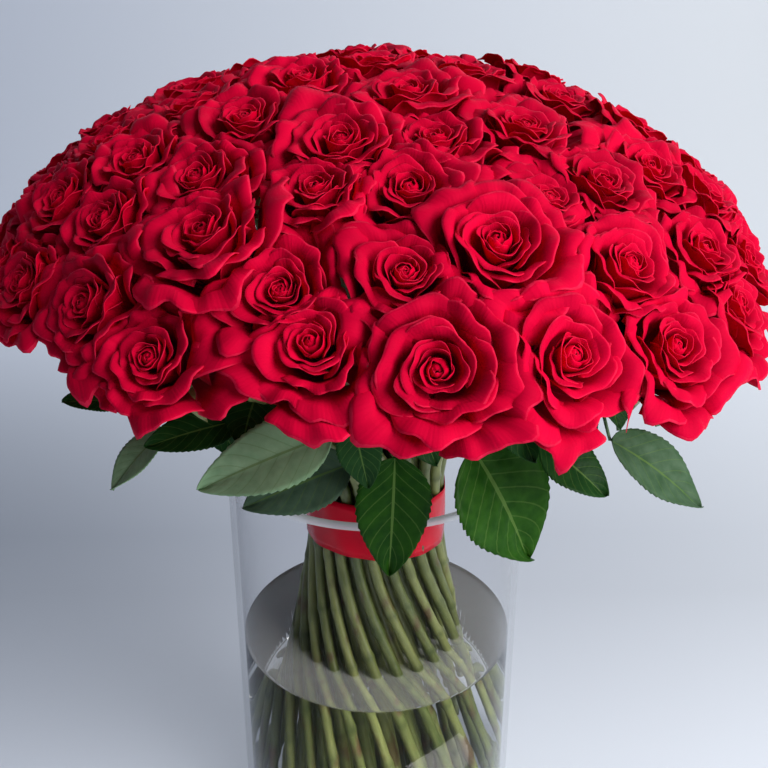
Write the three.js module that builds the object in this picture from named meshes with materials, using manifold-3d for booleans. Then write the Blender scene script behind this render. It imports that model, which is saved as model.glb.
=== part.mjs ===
// Roses in a vase: a tied dome of open roses whose stems stand in a clear glass cylinder of water.
// Millimetres, +Z up. The origin is the middle of the vase's foot, and the viewer stands at -Y.
// Angles round the vase are in degrees: 0 faces the viewer, and 90 is towards +X.

import * as THREE from "three";
import { mergeVertices } from "three/addons/utils/BufferGeometryUtils.js";
import Module from "manifold-3d";

const wasm = await Module();
wasm.setup();

// ---------------------------------------------------------------- driving dimensions

const GAP = 0.3; // between two pieces that touch on the real thing

const VASE = { radius: 95, height: 300, wall: 4, foot: 8, bevel: 1.2, sides: 38 };
const WATER = { level: 160, side: 0.4 };
const TIE = {
  bottom: 243,
  top: 281,
  meet: 262, // where the bunch's upper and lower halves meet inside it
  core: 43.8,
  slack: 0.4,
  ribbon: 1.3,
  sides: 20,
};

const STEM = {
  radius: 3.7, // to its corners
  sides: 4,
  pitch: 7.9, // from one row of stems to the next inside the tie
  footHeight: 8.9, // of its level cut end, a little clear of the glass
  footSpread: 2.1, // how much wider the bunch stands on the glass than it is at the tie
  kneeHeight: 170, // where a stem bends a little, just above the water
  twistBelow: 70,
  twistAbove: 45,
  holeRadius: 4.3, // of the hole that it stands in
  handle: 0.4, // its curve's handles, as a share of the way from the tie to the bloom
  handleUp: 0.8, // how much of that length the lower handle rises
  handleOut: 1.15, // how many times further out than the stem the lower handle lies
};

// The blooms' faces lie on the upper part of this egg-shaped dome.
const DOME = { radius: 233, rise: 154, centre: 385 };

// Rows of roses from the top of the dome down: how far out a row lies, how many roses it has, the
// angle of its first rose, and how many bends its stems have above the tie.
const ROWS = [
  { reach: 0, count: 1, start: 0, bends: 1 },
  { reach: 54, count: 6, start: 17, bends: 1 },
  { reach: 103, count: 12, start: -10, bends: 2 },
  { reach: 147, count: 18, start: 6.5, bends: 2 },
  { reach: 180, count: 22, start: 3.5, bends: 2 },
  { reach: 210, count: 24, start: 7.2, bends: 2 },
];

// How far a rose may stray from its even place: mm round the dome, mm out, mm proud of it, and a
// share of its size.
const STRAY = { round: 4, out: 3.5, proud: 2, size: 0.05 };

// The roses that face the viewer are set by hand: row, place in the row, then degrees round, mm out,
// mm proud of the dome, and size.
const SET_BY_HAND = [
  [5, 0, 0, -1, 4, 1.14],
  [5, 1, 0.6, 0, 1, 1.06],
  [5, 2, 1.4, 3, 0, 1],
  [5, 3, 3, 3, -1, 1],
  [5, 20, -2, -2, 0, 1],
  [5, 21, -1, -5, 1, 1.02],
  [5, 22, -4, 1, 0, 1.04],
  [5, 23, 0.4, -6, -1, 0.95],
  [4, 0, 0.5, -5, -1, 1.02],
  [4, 1, -2, -4, 4, 1.12],
  [4, 2, 0.4, 5, 1, 1.04],
  [4, 3, 2, 9, 0, 1],
  [4, 20, 2.8, -8, 3, 1.08],
  [4, 21, 0.7, 9, -2, 0.98],
  [3, 0, 0, -5, -1, 1.02],
  [3, 1, 4, 7, -2, 0.95],
  [3, 2, -2, 6, 0, 1],
  [3, 3, -4, 12, 0, 1],
  [3, 17, 2.5, -3, 1, 0.9],
  [2, 0, 1, 9, 1, 1.06],
  [2, 1, -5, 4, -2, 0.95],
  [2, 2, -7, 6, 0, 1],
  [1, 0, 0, 8, 1, 1.08],
];

// One bloom, from its heart out over the petals' lips and back under them to its base. Rings of ten
// points are five petals, whose every second point falls in and down where two petals meet.
const BLOOM = {
  petals: 5,
  reach: 38,
  depth: 41,
  heart: 1,
  rings: [
    { points: 5, radius: 10, height: -8, turn: 0 },
    { points: 10, radius: 20, height: -0.5, turn: 0.5, notchIn: 3, notchDown: 3.5 },
    { points: 10, radius: 23, height: -10, turn: 0.5 },
    { points: 10, radius: 38, height: -5, turn: 0, notchIn: 4, notchDown: 5 },
    { points: 5, radius: 20, height: -28, turn: 0 },
    { points: 5, radius: 5, height: -41, turn: 0, free: true },
  ],
  fused: 3, // roses side by side in a row that press together as one body
  press: 6, // how deep two fused roses run into each other
  stretch: 1.3, // how much wider than its full size a rose may grow to meet one it is fused to
  mateCone: 0.8, // cosine of the angle within which a petal faces a rose that it is fused to
  aside: 0.01, // cosine of the angle past which a petal runs beside a neighbour and never meets it
  near: 3, // roses further apart than this many times a bloom's reach don't meet
};

// Leaves: where the blade starts and ends, and its width. The stalk runs to the nearest stem.
const LEAVES = [
  { name: "leaf_long_left", base: [-22, -142, 382], tip: [-86, -150, 356], width: 36 },
  { name: "leaf_low_left", base: [-14, -98, 341], tip: [-71, -108, 320], width: 36 },
  { name: "leaf_middle", base: [10, -112, 354], tip: [7, -108, 278], width: 42 },
  { name: "leaf_tucked", base: [-11, -128, 381], tip: [-4, -125, 343], width: 24 },
  { name: "leaf_broad_right", base: [53, -104, 349], tip: [87, -106, 286], width: 50 },
  { name: "leaf_curled_right", base: [84, -118, 365], tip: [118, -128, 338], width: 32 },
  { name: "leaf_far_right", base: [124, -104, 358], tip: [173, -112, 321], width: 34 },
  { name: "leaf_far_left", base: [-110, -106, 366], tip: [-136, -123, 340], width: 24 },
  { name: "leaf_dark_left", base: [-68, -122, 380], tip: [-114, -136, 372], width: 24 },
  { name: "leaf_edge_left", base: [-128, -116, 388], tip: [-154, -130, 394], width: 18 },
];

// Round the sides and the back the leaves follow a rule: their angles, then how far out and how high
// the blade starts and ends, and its width.
const BACK_LEAVES = {
  angles: [82, 112, 146, 180, 214, 250],
  base: [138, 374],
  tip: [174, 322],
  width: 38,
  lean: 6, // how many mm one may lie off that
  swing: 2, // how many degrees its tip swings aside for each of those mm
};

const LEAF = {
  thickness: 0.9,
  stalk: 1.1, // half the stalk's width
  stalkEnd: 0.5, // and where it meets the stem
  stalkDepth: 0.8, // how thick the stalk is, as a share of its width
  seat: 0.6, // from the middle of the stalk's end to the stem's bark, along the stalk
  looksOut: 0.8, // the blade's upper face looks this much out
  looksUp: 0.6, // and this much up
  arch: 0.12, // how far the blade bows, as a share of its length
  fold: 0.16, // how far its edges stand up from the midrib, as a share of its half width
  // Half widths as shares of the full half width, at shares of the length: tooth, notch, tooth, ...
  teeth: [[0.16, 0.66], [0.2, 0.58], [0.4, 1.0], [0.44, 0.88], [0.64, 0.9], [0.68, 0.74], [0.86, 0.45]],
};

const FINISHES = {
  glass: { colour: 0xdfe8ea, roughness: 0.05, opacity: 0.3 },
  water: { colour: 0xc3cfd2, roughness: 0.05, opacity: 0.4 },
  ribbon: { colour: 0xc40f24, roughness: 0.25 },
  stem: { colour: 0x76883f, roughness: 0.6 },
  rose: { colour: 0xc4001f, roughness: 0.7 },
  leaf: { colour: 0x2f6128, roughness: 0.6 },
};

const SAME_POINT = 1e-5; // points nearer than this are one

// ---------------------------------------------------------------- small helpers

const radians = THREE.MathUtils.degToRad;
const degrees = THREE.MathUtils.radToDeg;

// A steady draw from -1 to 1, the same on every run: a golden-section sequence for each stream.
const STREAMS = [0.6180339887, 0.7548776662, 0.569840291, 0.8191725134];
function draw(index, stream) {
  const value = (index + 1) * STREAMS[stream];
  return 2 * (value - Math.floor(value)) - 1;
}

// The point at an angle round the vase, a distance out and a height.
function around(angle, out, height) {
  return new THREE.Vector3(out * Math.sin(radians(angle)), -out * Math.cos(radians(angle)), height);
}

function solidMesh(name, geometry, { colour, roughness, opacity = 1 }) {
  const material = new THREE.MeshStandardMaterial({
    color: colour, roughness, metalness: 0, opacity, transparent: opacity < 1,
  });
  const mesh = new THREE.Mesh(geometry, material);
  mesh.name = name;
  return mesh;
}

// ---------------------------------------------------------------- closed solids

// The skin of a solid, built ring by ring. Every ring of points runs anticlockwise seen from above,
// or from the side that its bloom or stem looks to.
class Skin {
  positions = [];

  faces = [];

  ring(points, angles = points.map((_, i) => (360 * i) / points.length)) {
    const first = this.positions.length / 3;
    points.forEach((p) => this.positions.push(p.x, p.y, p.z));
    return { first, angles, points };
  }

  triangle(a, b, c, faceOut = true) {
    this.faces.push(a, faceOut ? b : c, faceOut ? c : b);
  }

  // The wall between a ring and the next one below or outside it. Either may have fewer points, and
  // the upper one may be a single point.
  wall(upper, lower, faceOut = true) {
    const counts = [upper.angles.length, lower.angles.length];
    const nextAngle = (ring, i) => (i < ring.angles.length
      ? ring.angles[(i + 1) % ring.angles.length] + (i + 1 === ring.angles.length ? 360 : 0)
      : Infinity);
    let i = counts[0] === 1 ? 1 : 0;
    let j = 0;
    while (i < counts[0] || j < counts[1]) {
      const a = upper.first + (i % counts[0]);
      const b = lower.first + (j % counts[1]);
      if (nextAngle(lower, j) <= nextAngle(upper, i)) {
        j += 1;
        this.triangle(a, b, lower.first + (j % counts[1]), faceOut);
      } else {
        i += 1;
        this.triangle(a, b, upper.first + (i % counts[0]), faceOut);
      }
    }
  }

  // A level face inside a ring, round any rings that stand in it as holes.
  plate(outline, holes, faceUp) {
    const flat = (ring) => ring.points.map((p) => new THREE.Vector2(p.x, p.y));
    const corners = [outline, ...holes].flatMap((ring) => ring.points.map((_, i) => ring.first + i));
    for (const [a, b, c] of THREE.ShapeUtils.triangulateShape(flat(outline), holes.map(flat))) {
      this.triangle(corners[a], corners[b], corners[c], faceUp);
    }
  }

  // The flat end of a bloom or a tube.
  end(ring, faceUp) {
    for (let i = 1; i + 1 < ring.points.length; i += 1) {
      this.triangle(ring.first, ring.first + i, ring.first + i + 1, faceUp);
    }
  }

  // Walls through a list of rings, from the highest down.
  sleeve(rings, faceOut = true) {
    for (let k = 1; k < rings.length; k += 1) this.wall(rings[k - 1], rings[k], faceOut);
  }

  geometry() {
    const geometry = new THREE.BufferGeometry();
    geometry.setAttribute("position", new THREE.Float32BufferAttribute(this.positions, 3));
    geometry.setIndex(this.faces);
    return geometry;
  }
}

// A level ring of points round the vase's axis.
function levelRing(radius, height, sides) {
  return Array.from({ length: sides }, (_, i) => around((360 * i) / sides, radius, height));
}

// The rings of a flat-sided tube through points, square to the given directions. The path runs down.
function tubeRings(points, directions, radius) {
  let side = new THREE.Vector3(1, 0, 0);
  return points.map((point, k) => {
    const along = directions[k].clone().normalize();
    side = side.clone().addScaledVector(along, -side.dot(along)).normalize();
    const across = new THREE.Vector3().crossVectors(side, along);
    return Array.from({ length: STEM.sides }, (_, i) => {
      const turn = (2 * Math.PI * i) / STEM.sides;
      return point.clone()
        .addScaledVector(side, radius * Math.cos(turn))
        .addScaledVector(across, radius * Math.sin(turn));
    });
  });
}

// A thin blade over rows of three points each: both its faces are split alike, and its rim is walled.
function blade(rows) {
  const skin = new Skin();
  const columns = 3;
  const [upper, under] = [1, -1].map((side) => rows.map(({ points, up, thickness }) => {
    const moved = points.map((p) => p.clone().addScaledVector(up, (side * thickness) / 2));
    return skin.ring(moved).first;
  }));
  for (let r = 0; r + 1 < rows.length; r += 1) {
    for (let c = 0; c + 1 < columns; c += 1) {
      for (const [layer, faceOut] of [[upper, true], [under, false]]) {
        skin.triangle(layer[r] + c, layer[r + 1] + c, layer[r + 1] + c + 1, faceOut);
        skin.triangle(layer[r] + c, layer[r + 1] + c + 1, layer[r] + c + 1, faceOut);
      }
    }
  }
  const last = rows.length - 1;
  const rim = [];
  for (let r = 0; r < last; r += 1) rim.push([r, 0]);
  for (let c = 0; c + 1 < columns; c += 1) rim.push([last, c]);
  for (let r = last; r > 0; r -= 1) rim.push([r, columns - 1]);
  for (let c = columns - 1; c > 0; c -= 1) rim.push([0, c]);
  rim.forEach(([row, column], i) => {
    const [nextRow, nextColumn] = rim[(i + 1) % rim.length];
    const corners = [upper[row] + column, under[row] + column];
    const next = [upper[nextRow] + nextColumn, under[nextRow] + nextColumn];
    skin.triangle(corners[0], corners[1], next[1]);
    skin.triangle(corners[0], next[1], next[0]);
  });
  return skin.geometry();
}

// A body of revolution about Z from [radius, height] points that close on the axis or on themselves.
function turned(profile, sides) {
  const geometry = new THREE.LatheGeometry(profile.map(([r, z]) => new THREE.Vector2(r, z)), sides);
  return geometry.rotateX(Math.PI / 2);
}

function toManifold(geometry) {
  const bare = geometry.clone();
  bare.deleteAttribute("normal");
  bare.deleteAttribute("uv");
  const merged = mergeVertices(bare, SAME_POINT);
  const triangles = [];
  const index = merged.index.array;
  for (let i = 0; i < index.length; i += 3) {
    const [a, b, c] = [index[i], index[i + 1], index[i + 2]];
    if (a !== b && b !== c && c !== a) triangles.push(a, b, c);
  }
  return new wasm.Manifold(new wasm.Mesh({
    numProp: 3,
    vertProperties: new Float32Array(merged.attributes.position.array),
    triVerts: new Uint32Array(triangles),
  }));
}

function fromManifold(manifold) {
  const { vertProperties, triVerts } = manifold.getMesh();
  const geometry = new THREE.BufferGeometry();
  geometry.setAttribute("position", new THREE.BufferAttribute(vertProperties, 3));
  geometry.setIndex(new THREE.BufferAttribute(triVerts, 1));
  return geometry;
}

function fuse(geometries) {
  return geometries.map(toManifold).reduce((sum, next) => sum.add(next));
}

// ---------------------------------------------------------------- where the roses are

// Every rose: its angle, the middle of its face on the dome, the axis it looks along, and its size.
function placeRoses() {
  const roses = [];
  ROWS.forEach((row, rowIndex) => {
    for (let i = 0; i < row.count; i += 1) {
      const byHand = SET_BY_HAND.find(([r, place]) => r === rowIndex && place === i);
      const number = roses.length;
      const [round, out, proud, size] = byHand ? byHand.slice(2) : [
        row.reach ? degrees((draw(number, 0) * STRAY.round) / row.reach) : 0,
        row.reach ? draw(number, 1) * STRAY.out : 0,
        draw(number, 2) * STRAY.proud,
        1 + draw(number, 3) * STRAY.size,
      ];
      const evenAngle = row.start + (360 * i) / row.count;
      const angle = evenAngle + round;
      const reach = row.reach + out;
      const height = DOME.centre + DOME.rise * Math.sqrt(1 - (reach / DOME.radius) ** 2);
      const slope = [reach / DOME.radius ** 2, (height - DOME.centre) / DOME.rise ** 2];
      const tilt = degrees(Math.atan2(slope[0], slope[1]));
      const axis = around(angle, Math.sin(radians(tilt)), Math.cos(radians(tilt)));
      const face = around(angle, reach, height).addScaledVector(axis, proud);
      const group = `${rowIndex}_${Math.floor(i / BLOOM.fused)}`;
      roses.push({
        number, rowIndex, row, evenAngle, angle, reach, height, tilt, proud, axis, face, size, group,
      });
    }
  });
  return roses;
}

const roses = placeRoses();

// ---------------------------------------------------------------- blooms

// The share of its full size to which a rose spreads in a direction at a height. It stops just short
// of the plane half way to a neighbour, or past it where the two are fused.
function spread(rose, direction, height) {
  const from = rose.face.clone().addScaledVector(rose.axis, height);
  const limits = [];
  let widest = BLOOM.reach * rose.size;
  for (const other of roses) {
    if (other === rose || other.face.distanceTo(rose.face) > BLOOM.near * BLOOM.reach) continue;
    const towards = other.face.clone().sub(rose.face);
    const middle = rose.face.clone().addScaledVector(towards, 0.5);
    towards.normalize();
    const fused = other.group === rose.group;
    const slack = fused ? BLOOM.press / 2 : -GAP / 2;
    const heading = direction.dot(towards);
    if (heading <= BLOOM.aside) continue;
    const here = (slack - from.clone().sub(middle).dot(towards)) / heading;
    if (fused) widest = Math.max(widest, Math.min(here, BLOOM.stretch * widest));
    limits.push(here);
  }
  return Math.min(widest, ...limits) / (BLOOM.reach * rose.size);
}

// Whether a direction from a rose points at one that it is fused to.
function facesMate(rose, direction) {
  return roses.some((other) => other !== rose && other.group === rose.group
    && other.face.clone().sub(rose.face).normalize().dot(direction) > BLOOM.mateCone);
}

function bloom(rose) {
  const round = around(rose.angle + 90, 1, 0);
  const down = new THREE.Vector3().crossVectors(rose.axis, round);
  const spin = 360 * (0.5 + 0.5 * draw(rose.number, 1));
  const skin = new Skin();
  const rings = [skin.ring([rose.face.clone().addScaledVector(rose.axis, BLOOM.heart)])];
  for (const ring of BLOOM.rings) {
    const points = [];
    const angles = [];
    for (let i = 0; i < ring.points; i += 1) {
      const angle = (360 * i) / ring.points + (360 * ring.turn) / BLOOM.petals;
      const turn = radians(angle + spin);
      const direction = round.clone()
        .multiplyScalar(Math.cos(turn))
        .addScaledVector(down, Math.sin(turn));
      const notch = ring.points > BLOOM.petals && i % 2 === 1 && !facesMate(rose, direction);
      const radius = (ring.radius - (notch ? ring.notchIn ?? 0 : 0)) * rose.size;
      const height = ring.height - (notch ? ring.notchDown ?? 0 : 0);
      const share = ring.free ? 1 : spread(rose, direction, height);
      points.push(rose.face.clone()
        .addScaledVector(rose.axis, height)
        .addScaledVector(direction, radius * share));
      angles.push(angle);
    }
    rings.push(skin.ring(points, angles));
  }
  skin.sleeve(rings);
  skin.end(rings[rings.length - 1], false);
  return skin.geometry();
}

function bloomGroups() {
  const groups = new Map();
  for (const rose of roses) groups.set(rose.group, [...(groups.get(rose.group) ?? []), bloom(rose)]);
  return [...groups].map(([group, geometries]) => {
    const shape = geometries.length === 1 ? geometries[0] : fromManifold(fuse(geometries));
    return solidMesh(`roses_row${group}`, shape, FINISHES.rose);
  });
}

// ---------------------------------------------------------------- stems

// Below the tie the bunch turns and widens like one twisted cone, so no two stems cross.
function lowerStem(rose, height) {
  const drop = (TIE.bottom - height) / (TIE.bottom - STEM.footHeight);
  const out = STEM.pitch * rose.rowIndex * (1 + (STEM.footSpread - 1) * drop);
  const turn = STEM.twistAbove + STEM.twistBelow * Math.sin((drop * Math.PI) / 2);
  return around(rose.evenAngle + turn, out, height);
}

// Above it a stem unwinds and curves out to meet the base of its bloom square on.
function upperStem(rose, share) {
  const sine = Math.sin(radians(rose.tilt));
  const cosine = Math.cos(radians(rose.tilt));
  const below = BLOOM.depth + GAP - rose.proud;
  const end = new THREE.Vector2(rose.reach - below * sine, rose.height - below * cosine);
  const start = new THREE.Vector2(STEM.pitch * rose.rowIndex, TIE.top);
  const pull = STEM.handle * start.distanceTo(end);
  const curve = new THREE.CubicBezierCurve(
    start,
    new THREE.Vector2(start.x * STEM.handleOut, start.y + STEM.handleUp * pull),
    new THREE.Vector2(end.x - pull * sine, end.y - pull * cosine),
    end,
  );
  const { x, y } = curve.getPoint(share);
  const unwound = THREE.MathUtils.lerp(rose.evenAngle, rose.angle, share);
  return around(unwound + STEM.twistAbove * (1 - share) ** 2, x, y);
}

// The rings of a stem's upper length, from its bloom down to the tie's upper face, which it meets in a
// level ring.
function upperRings(rose) {
  const { bends } = rose.row;
  const small = 1e-3;
  const shares = Array.from({ length: bends + 1 }, (_, i) => 1 - i / bends);
  const points = shares.map((share) => upperStem(rose, share));
  const directions = shares.map((share) => upperStem(rose, Math.max(0, share - small))
    .sub(upperStem(rose, Math.min(1, share + small))));
  directions[bends].set(0, 0, -1);
  return tubeRings(points, directions, STEM.radius);
}

// The rings of its lower length, from the tie's lower face to its foot. Both its ends are level.
function lowerRings(rose, radius, deeper = 0) {
  const points = [TIE.bottom, STEM.kneeHeight, STEM.footHeight].map((z) => lowerStem(rose, z));
  const level = new THREE.Vector3(0, 0, -1);
  const directions = [level, points[2].clone().sub(points[0]), level];
  points[2].z -= deeper;
  return tubeRings(points, directions, radius);
}

// The stems above or below the middle of the tie. They are one body, held together by that half of
// the tie's core, and grow out of its outer face.
function halfBunch(name, outerHeight, innerHeight, tubes) {
  const skin = new Skin();
  const isUpper = outerHeight > innerHeight;
  const [outer, inner] = [outerHeight, innerHeight]
    .map((z) => skin.ring(levelRing(TIE.core, z, TIE.sides)));
  skin.sleeve(isUpper ? [outer, inner] : [inner, outer]);
  const placed = tubes.map((rings) => rings.map((points) => skin.ring(points)));
  placed.forEach((rings) => skin.sleeve(rings));
  const highest = placed.map((rings) => rings[0]);
  const lowest = placed.map((rings) => rings[rings.length - 1]);
  (isUpper ? highest : lowest).forEach((ring) => skin.end(ring, isUpper));
  skin.plate(outer, isUpper ? lowest : highest, isUpper);
  skin.plate(inner, [], !isUpper);
  return solidMesh(name, skin.geometry(), FINISHES.stem);
}

function upperStems() {
  return halfBunch("stems_upper", TIE.top, TIE.meet + GAP / 2, roses.map(upperRings));
}

function lowerStems() {
  const tubes = roses.map((rose) => lowerRings(rose, STEM.radius));
  return halfBunch("stems_lower", TIE.bottom, TIE.meet - GAP / 2, tubes);
}

// ---------------------------------------------------------------- vase, water and ribbon

function vase() {
  const { radius, height, wall, foot, bevel } = VASE;
  const inner = radius - wall;
  const shape = turned([
    [0, 0], [radius - bevel, 0], [radius, bevel], [radius, height],
    [inner, height], [inner, foot], [0, foot],
  ], VASE.sides);
  return solidMesh("vase", shape, FINISHES.glass);
}

// The water, with a plain hole for each stem, a little wider and deeper than the stem's foot.
function water() {
  const skin = new Skin();
  const radius = VASE.radius - VASE.wall - WATER.side;
  const heights = [WATER.level, VASE.foot + GAP];
  const [top, bottom] = heights.map((z) => skin.ring(levelRing(radius, z, VASE.sides)));
  skin.wall(top, bottom);
  const holes = roses.map((rose) => {
    const [, knee, foot] = lowerRings(rose, STEM.holeRadius, GAP);
    const mouth = knee.map((p, i) => {
      const share = (p.z - WATER.level) / (p.z - foot[i].z);
      return p.clone().lerp(foot[i], share);
    });
    return [skin.ring(mouth), skin.ring(foot)];
  });
  skin.plate(top, holes.map(([mouth]) => mouth), true);
  skin.plate(bottom, [], false);
  for (const [mouth, foot] of holes) {
    skin.wall(mouth, foot, false);
    skin.end(foot, true);
  }
  return solidMesh("water", skin.geometry(), FINISHES.water);
}

function ribbon() {
  const inner = TIE.core + TIE.slack;
  const outer = inner + TIE.ribbon;
  const shape = turned([
    [inner, TIE.bottom], [outer, TIE.bottom], [outer, TIE.top], [inner, TIE.top], [inner, TIE.bottom],
  ], TIE.sides);
  return solidMesh("ribbon", shape, FINISHES.ribbon);
}

// ---------------------------------------------------------------- leaves

// The nearest point to a leaf's base on the lines of the outer rows' stems, above the tie.
function nearestStemLine(target) {
  let best = null;
  for (const rose of roses.filter((r) => r.rowIndex >= ROWS.length - 2)) {
    const { bends } = rose.row;
    for (let bend = 0; bend < bends; bend += 1) {
      const line = new THREE.Line3(upperStem(rose, bend / bends), upperStem(rose, (bend + 1) / bends));
      const point = line.closestPointToPoint(target, true, new THREE.Vector3());
      const distance = point.distanceTo(target);
      if (!best || distance < best.distance) best = { point, distance };
    }
  }
  return best.point;
}

function leaf({ name, base, tip, width }, bunch) {
  const foot = new THREE.Vector3(...base);
  const end = new THREE.Vector3(...tip);
  const inward = nearestStemLine(foot).sub(foot).normalize();
  const [bark] = new THREE.Raycaster(foot, inward).intersectObject(bunch);
  const stalk = inward.clone().negate();
  const seat = bark.point.clone().addScaledVector(stalk, LEAF.seat);
  const length = foot.distanceTo(end);
  const outward = new THREE.Vector3(foot.x, foot.y, 0).normalize();
  const facing = outward.multiplyScalar(LEAF.looksOut).add(new THREE.Vector3(0, 0, LEAF.looksUp));
  const middle = foot.clone().lerp(end, 0.5).addScaledVector(facing, LEAF.arch * length);
  const midrib = new THREE.QuadraticBezierCurve3(foot, middle, end);

  const row = (point, along, halfWidth, thickness) => {
    const across = new THREE.Vector3().crossVectors(along, facing).normalize();
    const up = new THREE.Vector3().crossVectors(across, along).normalize();
    const edge = (side) => point.clone()
      .addScaledVector(across, side * halfWidth)
      .addScaledVector(up, LEAF.fold * halfWidth);
    return { points: [edge(1), point.clone(), edge(-1)], up, thickness };
  };
  const thick = 2 * LEAF.stalk * LEAF.stalkDepth;
  const rows = [
    row(seat, stalk, LEAF.stalkEnd, thick / 2),
    row(foot, midrib.getTangent(0).add(stalk).normalize(), LEAF.stalk, thick),
  ];
  for (const [share, wide] of LEAF.teeth) {
    rows.push(row(midrib.getPoint(share), midrib.getTangent(share), (wide * width) / 2, LEAF.thickness));
  }
  rows.push(row(end, midrib.getTangent(1), LEAF.stalk / 2, LEAF.thickness));
  return solidMesh(name, blade(rows), FINISHES.leaf);
}

function leaves(bunch) {
  const back = BACK_LEAVES.angles.map((angle, i) => {
    const lean = BACK_LEAVES.lean * draw(i, 0);
    const swung = angle + BACK_LEAVES.swing * lean;
    const base = around(angle, BACK_LEAVES.base[0], BACK_LEAVES.base[1] + lean);
    const tip = around(swung, BACK_LEAVES.tip[0], BACK_LEAVES.tip[1] - lean);
    const name = `leaf_back_${i + 1}`;
    return { name, base: base.toArray(), tip: tip.toArray(), width: BACK_LEAVES.width };
  });
  return [...LEAVES, ...back].map((spec) => leaf(spec, bunch));
}

// ---------------------------------------------------------------- the whole

const group = new THREE.Group();
const upper = upperStems();
group.add(vase(), water(), ribbon(), upper, lowerStems(), ...bloomGroups(), ...leaves(upper));

export default group;
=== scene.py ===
"""Roses in a vase: the petals, stems, leaves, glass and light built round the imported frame.

Metres, +Z up, in the frame's own axes. Angles round the vase are in degrees: 0 faces the viewer at
-Y, and 90 is towards +X. Every piece's place is in its mesh, and its object stays at the origin.
"""

import logging
import math
from dataclasses import dataclass, field, replace
from enum import Enum
from typing import Callable, Sequence

import bmesh
import bpy
import numpy as np
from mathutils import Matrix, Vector


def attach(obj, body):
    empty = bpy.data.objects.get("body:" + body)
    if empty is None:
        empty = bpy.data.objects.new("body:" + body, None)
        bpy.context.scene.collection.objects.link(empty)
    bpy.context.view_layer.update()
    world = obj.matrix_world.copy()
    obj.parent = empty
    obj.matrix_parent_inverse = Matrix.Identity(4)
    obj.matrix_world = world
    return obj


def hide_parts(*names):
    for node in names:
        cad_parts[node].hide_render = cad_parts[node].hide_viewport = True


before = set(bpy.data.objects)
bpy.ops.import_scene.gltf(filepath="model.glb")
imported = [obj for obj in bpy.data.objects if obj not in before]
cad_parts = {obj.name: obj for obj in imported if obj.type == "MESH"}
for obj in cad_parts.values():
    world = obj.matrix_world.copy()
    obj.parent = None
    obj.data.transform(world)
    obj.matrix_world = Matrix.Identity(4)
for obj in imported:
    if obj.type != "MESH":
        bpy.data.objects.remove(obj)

Pair = tuple[float, float]
Triple = tuple[float, float, float]
Socket = bpy.types.NodeSocket

LOG = logging.getLogger("roses")
MM = 0.001
STREAMS = (0.6180339887, 0.7548776662, 0.569840291, 0.8191725134)
GOLDEN_TURN = 137.508
WHITE = (1.0, 1.0, 1.0)
UP = (0.0, 0.0, 1.0)
# Points this near to each other become one when a mesh is closed.
TOUCHING = 1e-6
# A leaf's side veins: their pairs, and how far they lean forward. Its blade is quilted and painted
# by the same two numbers.
SIDE_VEINS = 8.0
VEIN_SLOPE = 2.2


# ---------------------------------------------------------------- small helpers


def draw(index: int, stream: int) -> float:
    """Give a steady draw from -1 to 1, the same on every run.

    Args:
        index: Which member of the sequence.
        stream: Which of the independent sequences.

    Returns:
        A number from -1 to 1.
    """
    value = (index + 1) * STREAMS[stream]
    return 2.0 * (value - math.floor(value)) - 1.0


def around(angle: float, out: float, height: float) -> Vector:
    """Give the point at an angle round the vase, a distance out and a height."""
    turn = math.radians(angle)
    return Vector((out * math.sin(turn), -out * math.cos(turn), height))


def smooth(low: float, high: float, value: np.ndarray) -> np.ndarray:
    """Rise smoothly from 0 at low to 1 at high."""
    share = np.clip((value - low) / (high - low), 0.0, 1.0)
    return share * share * (3.0 - 2.0 * share)


def unit(vectors: np.ndarray) -> np.ndarray:
    """Bring vectors to a length of 1."""
    return vectors / np.linalg.norm(vectors, axis=-1, keepdims=True)


def spokes(turn: np.ndarray, side: np.ndarray, across: np.ndarray) -> np.ndarray:
    """Give the ways out of a tube's middle at angles from its side way, in radians."""
    return np.cos(turn)[:, None] * side + np.sin(turn)[:, None] * across


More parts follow.
